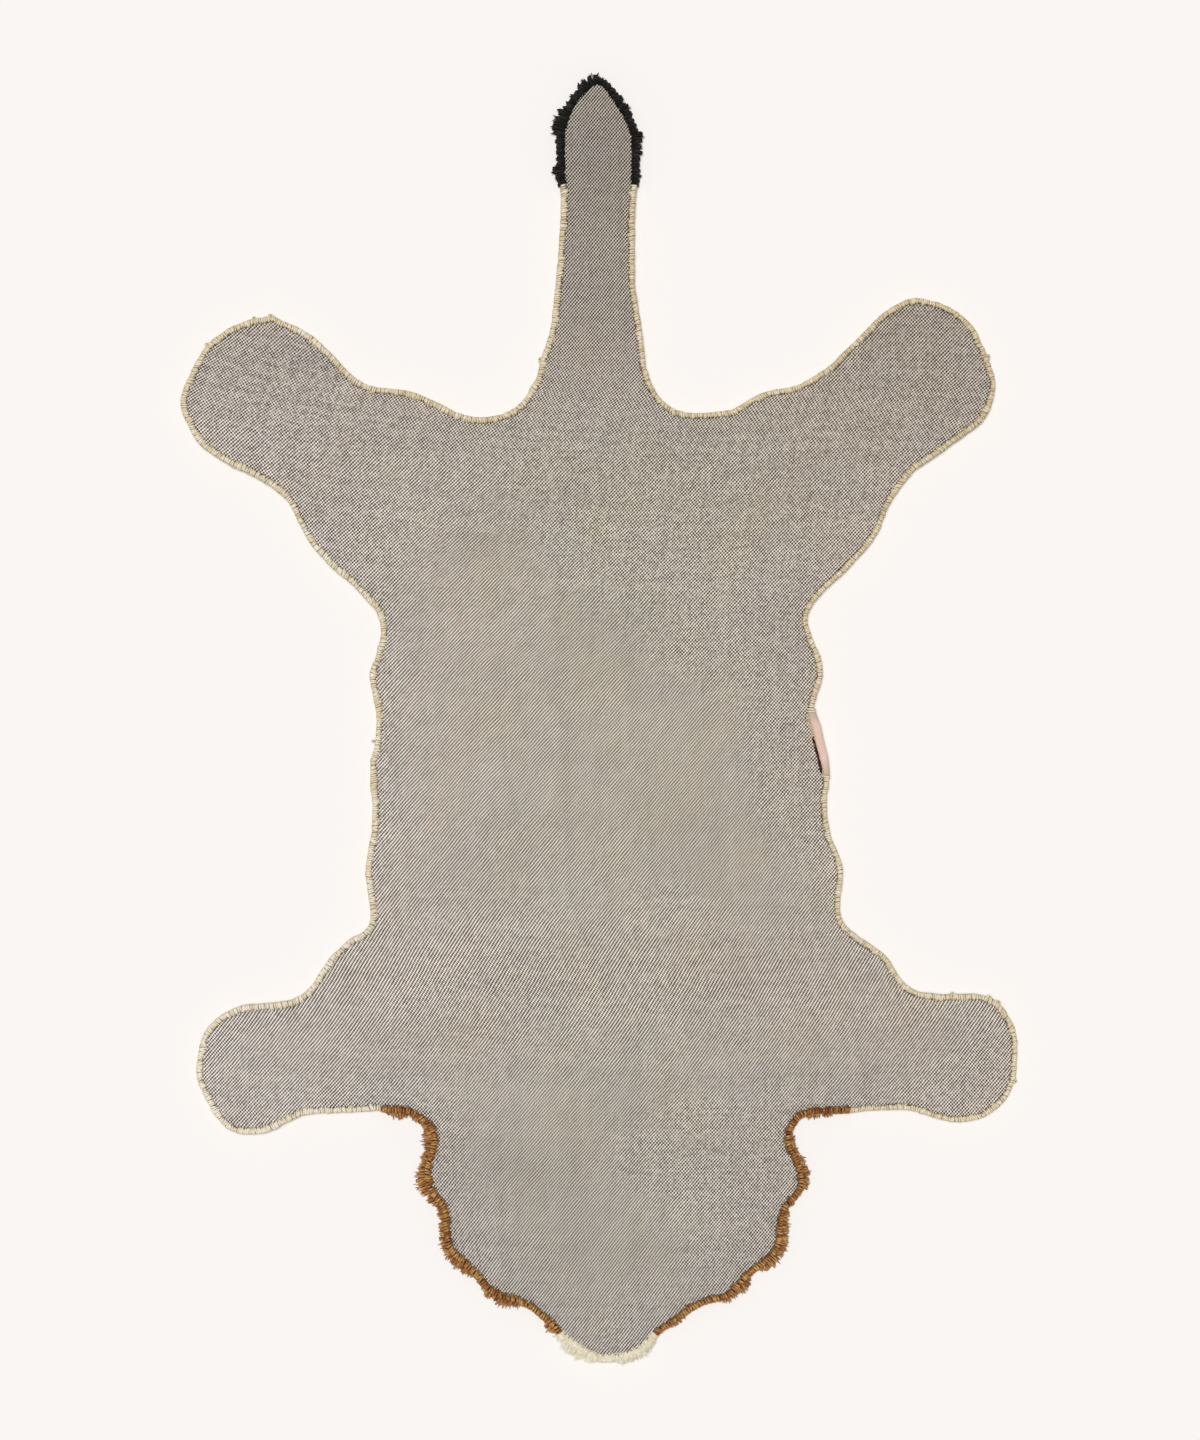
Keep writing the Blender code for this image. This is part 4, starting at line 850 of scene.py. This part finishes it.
ribbon_colour = add(woven_ribbon, "Mix", {0: ribbon_tone, 1: linear("CEA490"), 2: linear("F2D2C2")},
                    data_type="RGBA")
# Towards its two ends the ribbon turns a greyer brown.
soiled = add(woven_ribbon, "Attribute", attribute_name="soiled").outputs["Fac"]
ribbon_colour = add(woven_ribbon, "Mix", {0: soiled, 1: ribbon_colour, 2: linear("B7A28C")}, data_type="RGBA")
ribbon_bump = add(woven_ribbon, "Bump", {"Height": ribs.outputs[1], "Strength": 0.3, "Distance": 0.2 * MM})
ribbon_shader = add(woven_ribbon, "BsdfPrincipled", {"Base Color": ribbon_colour, "Roughness": 0.6, "IOR": 1.5,
                                                     "Sheen Weight": 0.2, "Normal": ribbon_bump})
add(woven_ribbon, "OutputMaterial", {"Surface": ribbon_shader})
label_runs = np.linspace(label_begin, label_end, 32)
ends = (label_begin, label_begin + 7.0, label_begin + 18.0, label_end - 20.0, label_end)
breadth = np.interp(label_runs, ends, (0.9, 0.95, 1.0, 0.95, 0.68))
label_points, label_faces = swept(RIBBON, label_runs, breadth)
soiled = np.interp(label_runs, ends, (0.9, 0.6, 0.1, 0.1, 0.8))
ribbon = mesh_piece("ribbon_label", label_points, label_faces, woven_ribbon,
                    soiled=np.repeat(soiled, len(RIBBON)))
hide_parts("label")

# The ribbon's lower inner edge is held by a dark, rust-brown thread, drawn as a strip wider than the thread,
# which also paints the shadow in the gap beside it. Ends of the cream whipping show beside its upper half, and
# a turn or two lie over each of its ends.
# Painted shadow: the thread's strip also stands for the shade in the gap under the ribbon's edge.
seam_thread_and_shadow = wool("rust-brown sewing thread and its shadow", "24100A", "3A1A10", "562A1C", "8A5A48", 0.0)
seam = np.linspace(label_begin + 31.0, label_end - 3.0, 30)
seam_inset = 9.3 + 1.5 * np.interp(seam, ends, (0.9, 0.95, 1.0, 0.9, -0.2)) + 0.4 * drift(seam, 3.0, 61)
seam_wide = 1.65 + 0.6 * drift(seam, 4.0, 62)
seam_wide[[0, -1]] = 0.3
seam_path = beside_edge(seam, -seam_inset, 12.9)[None]
seam_across = np.cross(np.gradient(seam_path, axis=1), UPWARD)
seam_across /= np.linalg.norm(seam_across, axis=2, keepdims=True)
seam_points, seam_faces = strands(seam_path, seam_across, seam_wide[None], seam_wide[None] * 0.6, 6)
seam_and_shadow = mesh_piece("label_seam_and_shadow", seam_points, seam_faces, seam_thread_and_shadow,
                        depth=np.repeat(0.5 + 0.5 * drift(seam, 3.0, 63), 6),
                        tint=np.repeat(0.5 + 0.5 * drift(seam, 3.0, 64), 6))
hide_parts("label")

draw = np.random.default_rng(65)
beside = np.arange(label_begin + 5.0, label_begin + 38.0, 2.3)
beside = beside + draw.uniform(-0.5, 0.5, len(beside))
beside_inset = np.array([[8.8, 10.8, 12.7]])
beside_inset = beside_inset + draw.uniform(-0.8, 0.7, (len(beside), 1)) * np.array([[0.0, 0.6, 1.0]])
beside_ends = np.stack([beside, beside + 0.2, beside + 0.6], axis=1)
over = np.array([label_begin - 0.8, label_begin + 1.6, label_end + 0.6])
OVER = np.array([(9.2, 13.2), (7.6, 14.7), (5.0, 15.0), (2.4, 14.9), (0.4, 14.1), (-0.8, 12.6), (-1.0, 10.6),
                 (0.6, 8.4)])
over_runs = over[:, None] + 0.12 * (4.0 - OVER[None, :, 0]) + np.zeros((3, 1))
over_wide = 1.15 * np.array([0.5, 0.9, 1.0, 1.0, 1.0, 1.0, 1.0, 0.8])
beside_paths = beside_edge(beside_ends, -beside_inset, np.array([13.1, 12.9, 12.3]))
over_paths = beside_edge(over_runs, np.broadcast_to(-OVER[:, 0], over_runs.shape), OVER[:, 1])
end_points, end_faces = joined([
    strands(beside_paths, along_edge(beside_ends), np.array([1.0, 0.9, 0.5]), 0.5, YARN_SIDES),
    strands(over_paths, along_edge(over_runs), over_wide, over_wide * 0.5, YARN_SIDES)])
# Painted shade on the sides of each turn.
ridge = np.tile(np.abs(np.sin(around(YARN_SIDES))) * 0.6 + 0.4, len(end_points) // YARN_SIDES)
end_tint = np.append(draw.uniform(-0.2, 0.5, beside_ends.size), draw.uniform(0.4, 0.8, over_runs.size))
label_ends = mesh_piece("whipping_at_label", end_points, end_faces, cream_wool, depth=ridge,
                        tint=np.repeat(end_tint, YARN_SIDES))
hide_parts("binding_cream_right")
whipped += [seam_and_shadow, label_ends]


# ---- Floor, light and camera -----------------------------------------------------------------------------
# A plain pale floor under soft, even light, seen from straight above, with the tail at the top.

FLOOR_HALF = 40.0           # metres from the rug to each side of the floor, so that no far edge shows
floor_paint = new_material("pale matt floor")
floor_shader = add(floor_paint, "BsdfPrincipled", {"Base Color": linear("FAF6F3"), "Roughness": 1.0,
                                                   "Specular IOR Level": 0.0})
add(floor_paint, "OutputMaterial", {"Surface": floor_shader})
floor_mesh = bpy.data.meshes.new("floor")
floor_corners = [(FLOOR_HALF * x, FLOOR_HALF * y, 0.0) for x, y in ((-1, -1), (1, -1), (1, 1), (-1, 1))]
floor_mesh.from_pydata(floor_corners, [], [[0, 1, 2, 3]])
floor_mesh.materials.append(floor_paint)
floor = bpy.data.objects.new("floor", floor_mesh)
floor.location.z = -0.0002
show(floor)

world = bpy.data.worlds.new("soft daylight")
bpy.context.scene.world = world
world.use_nodes = True
daylight = world.node_tree.nodes["Background"].inputs
daylight["Color"].default_value = (1.0, 1.0, 1.0, 1.0)
daylight["Strength"].default_value = 0.15

lamp_data = bpy.data.lights.new("overhead softbox", "SUN")
lamp_data.angle = math.radians(22.0)
lamp_data.energy = 2.688
lamp = bpy.data.objects.new("overhead softbox", lamp_data)
lamp.rotation_euler = (-0.09, -0.07, 0.0)
show(lamp)

VIEW_HEIGHT = 1.672         # metres from the picture's top to its bottom, at the height of the rug's face
camera_data = bpy.data.cameras.new("camera")
camera_data.lens = 85.0
camera_data.sensor_width = 36.0
camera_data.clip_end = 100.0
camera = bpy.data.objects.new("camera", camera_data)
camera.location = (0.0001, -0.0005, 0.012 + VIEW_HEIGHT * camera_data.lens / camera_data.sensor_width)
show(camera)
bpy.context.scene.camera = camera
bpy.context.scene.view_settings.view_transform = "Standard"
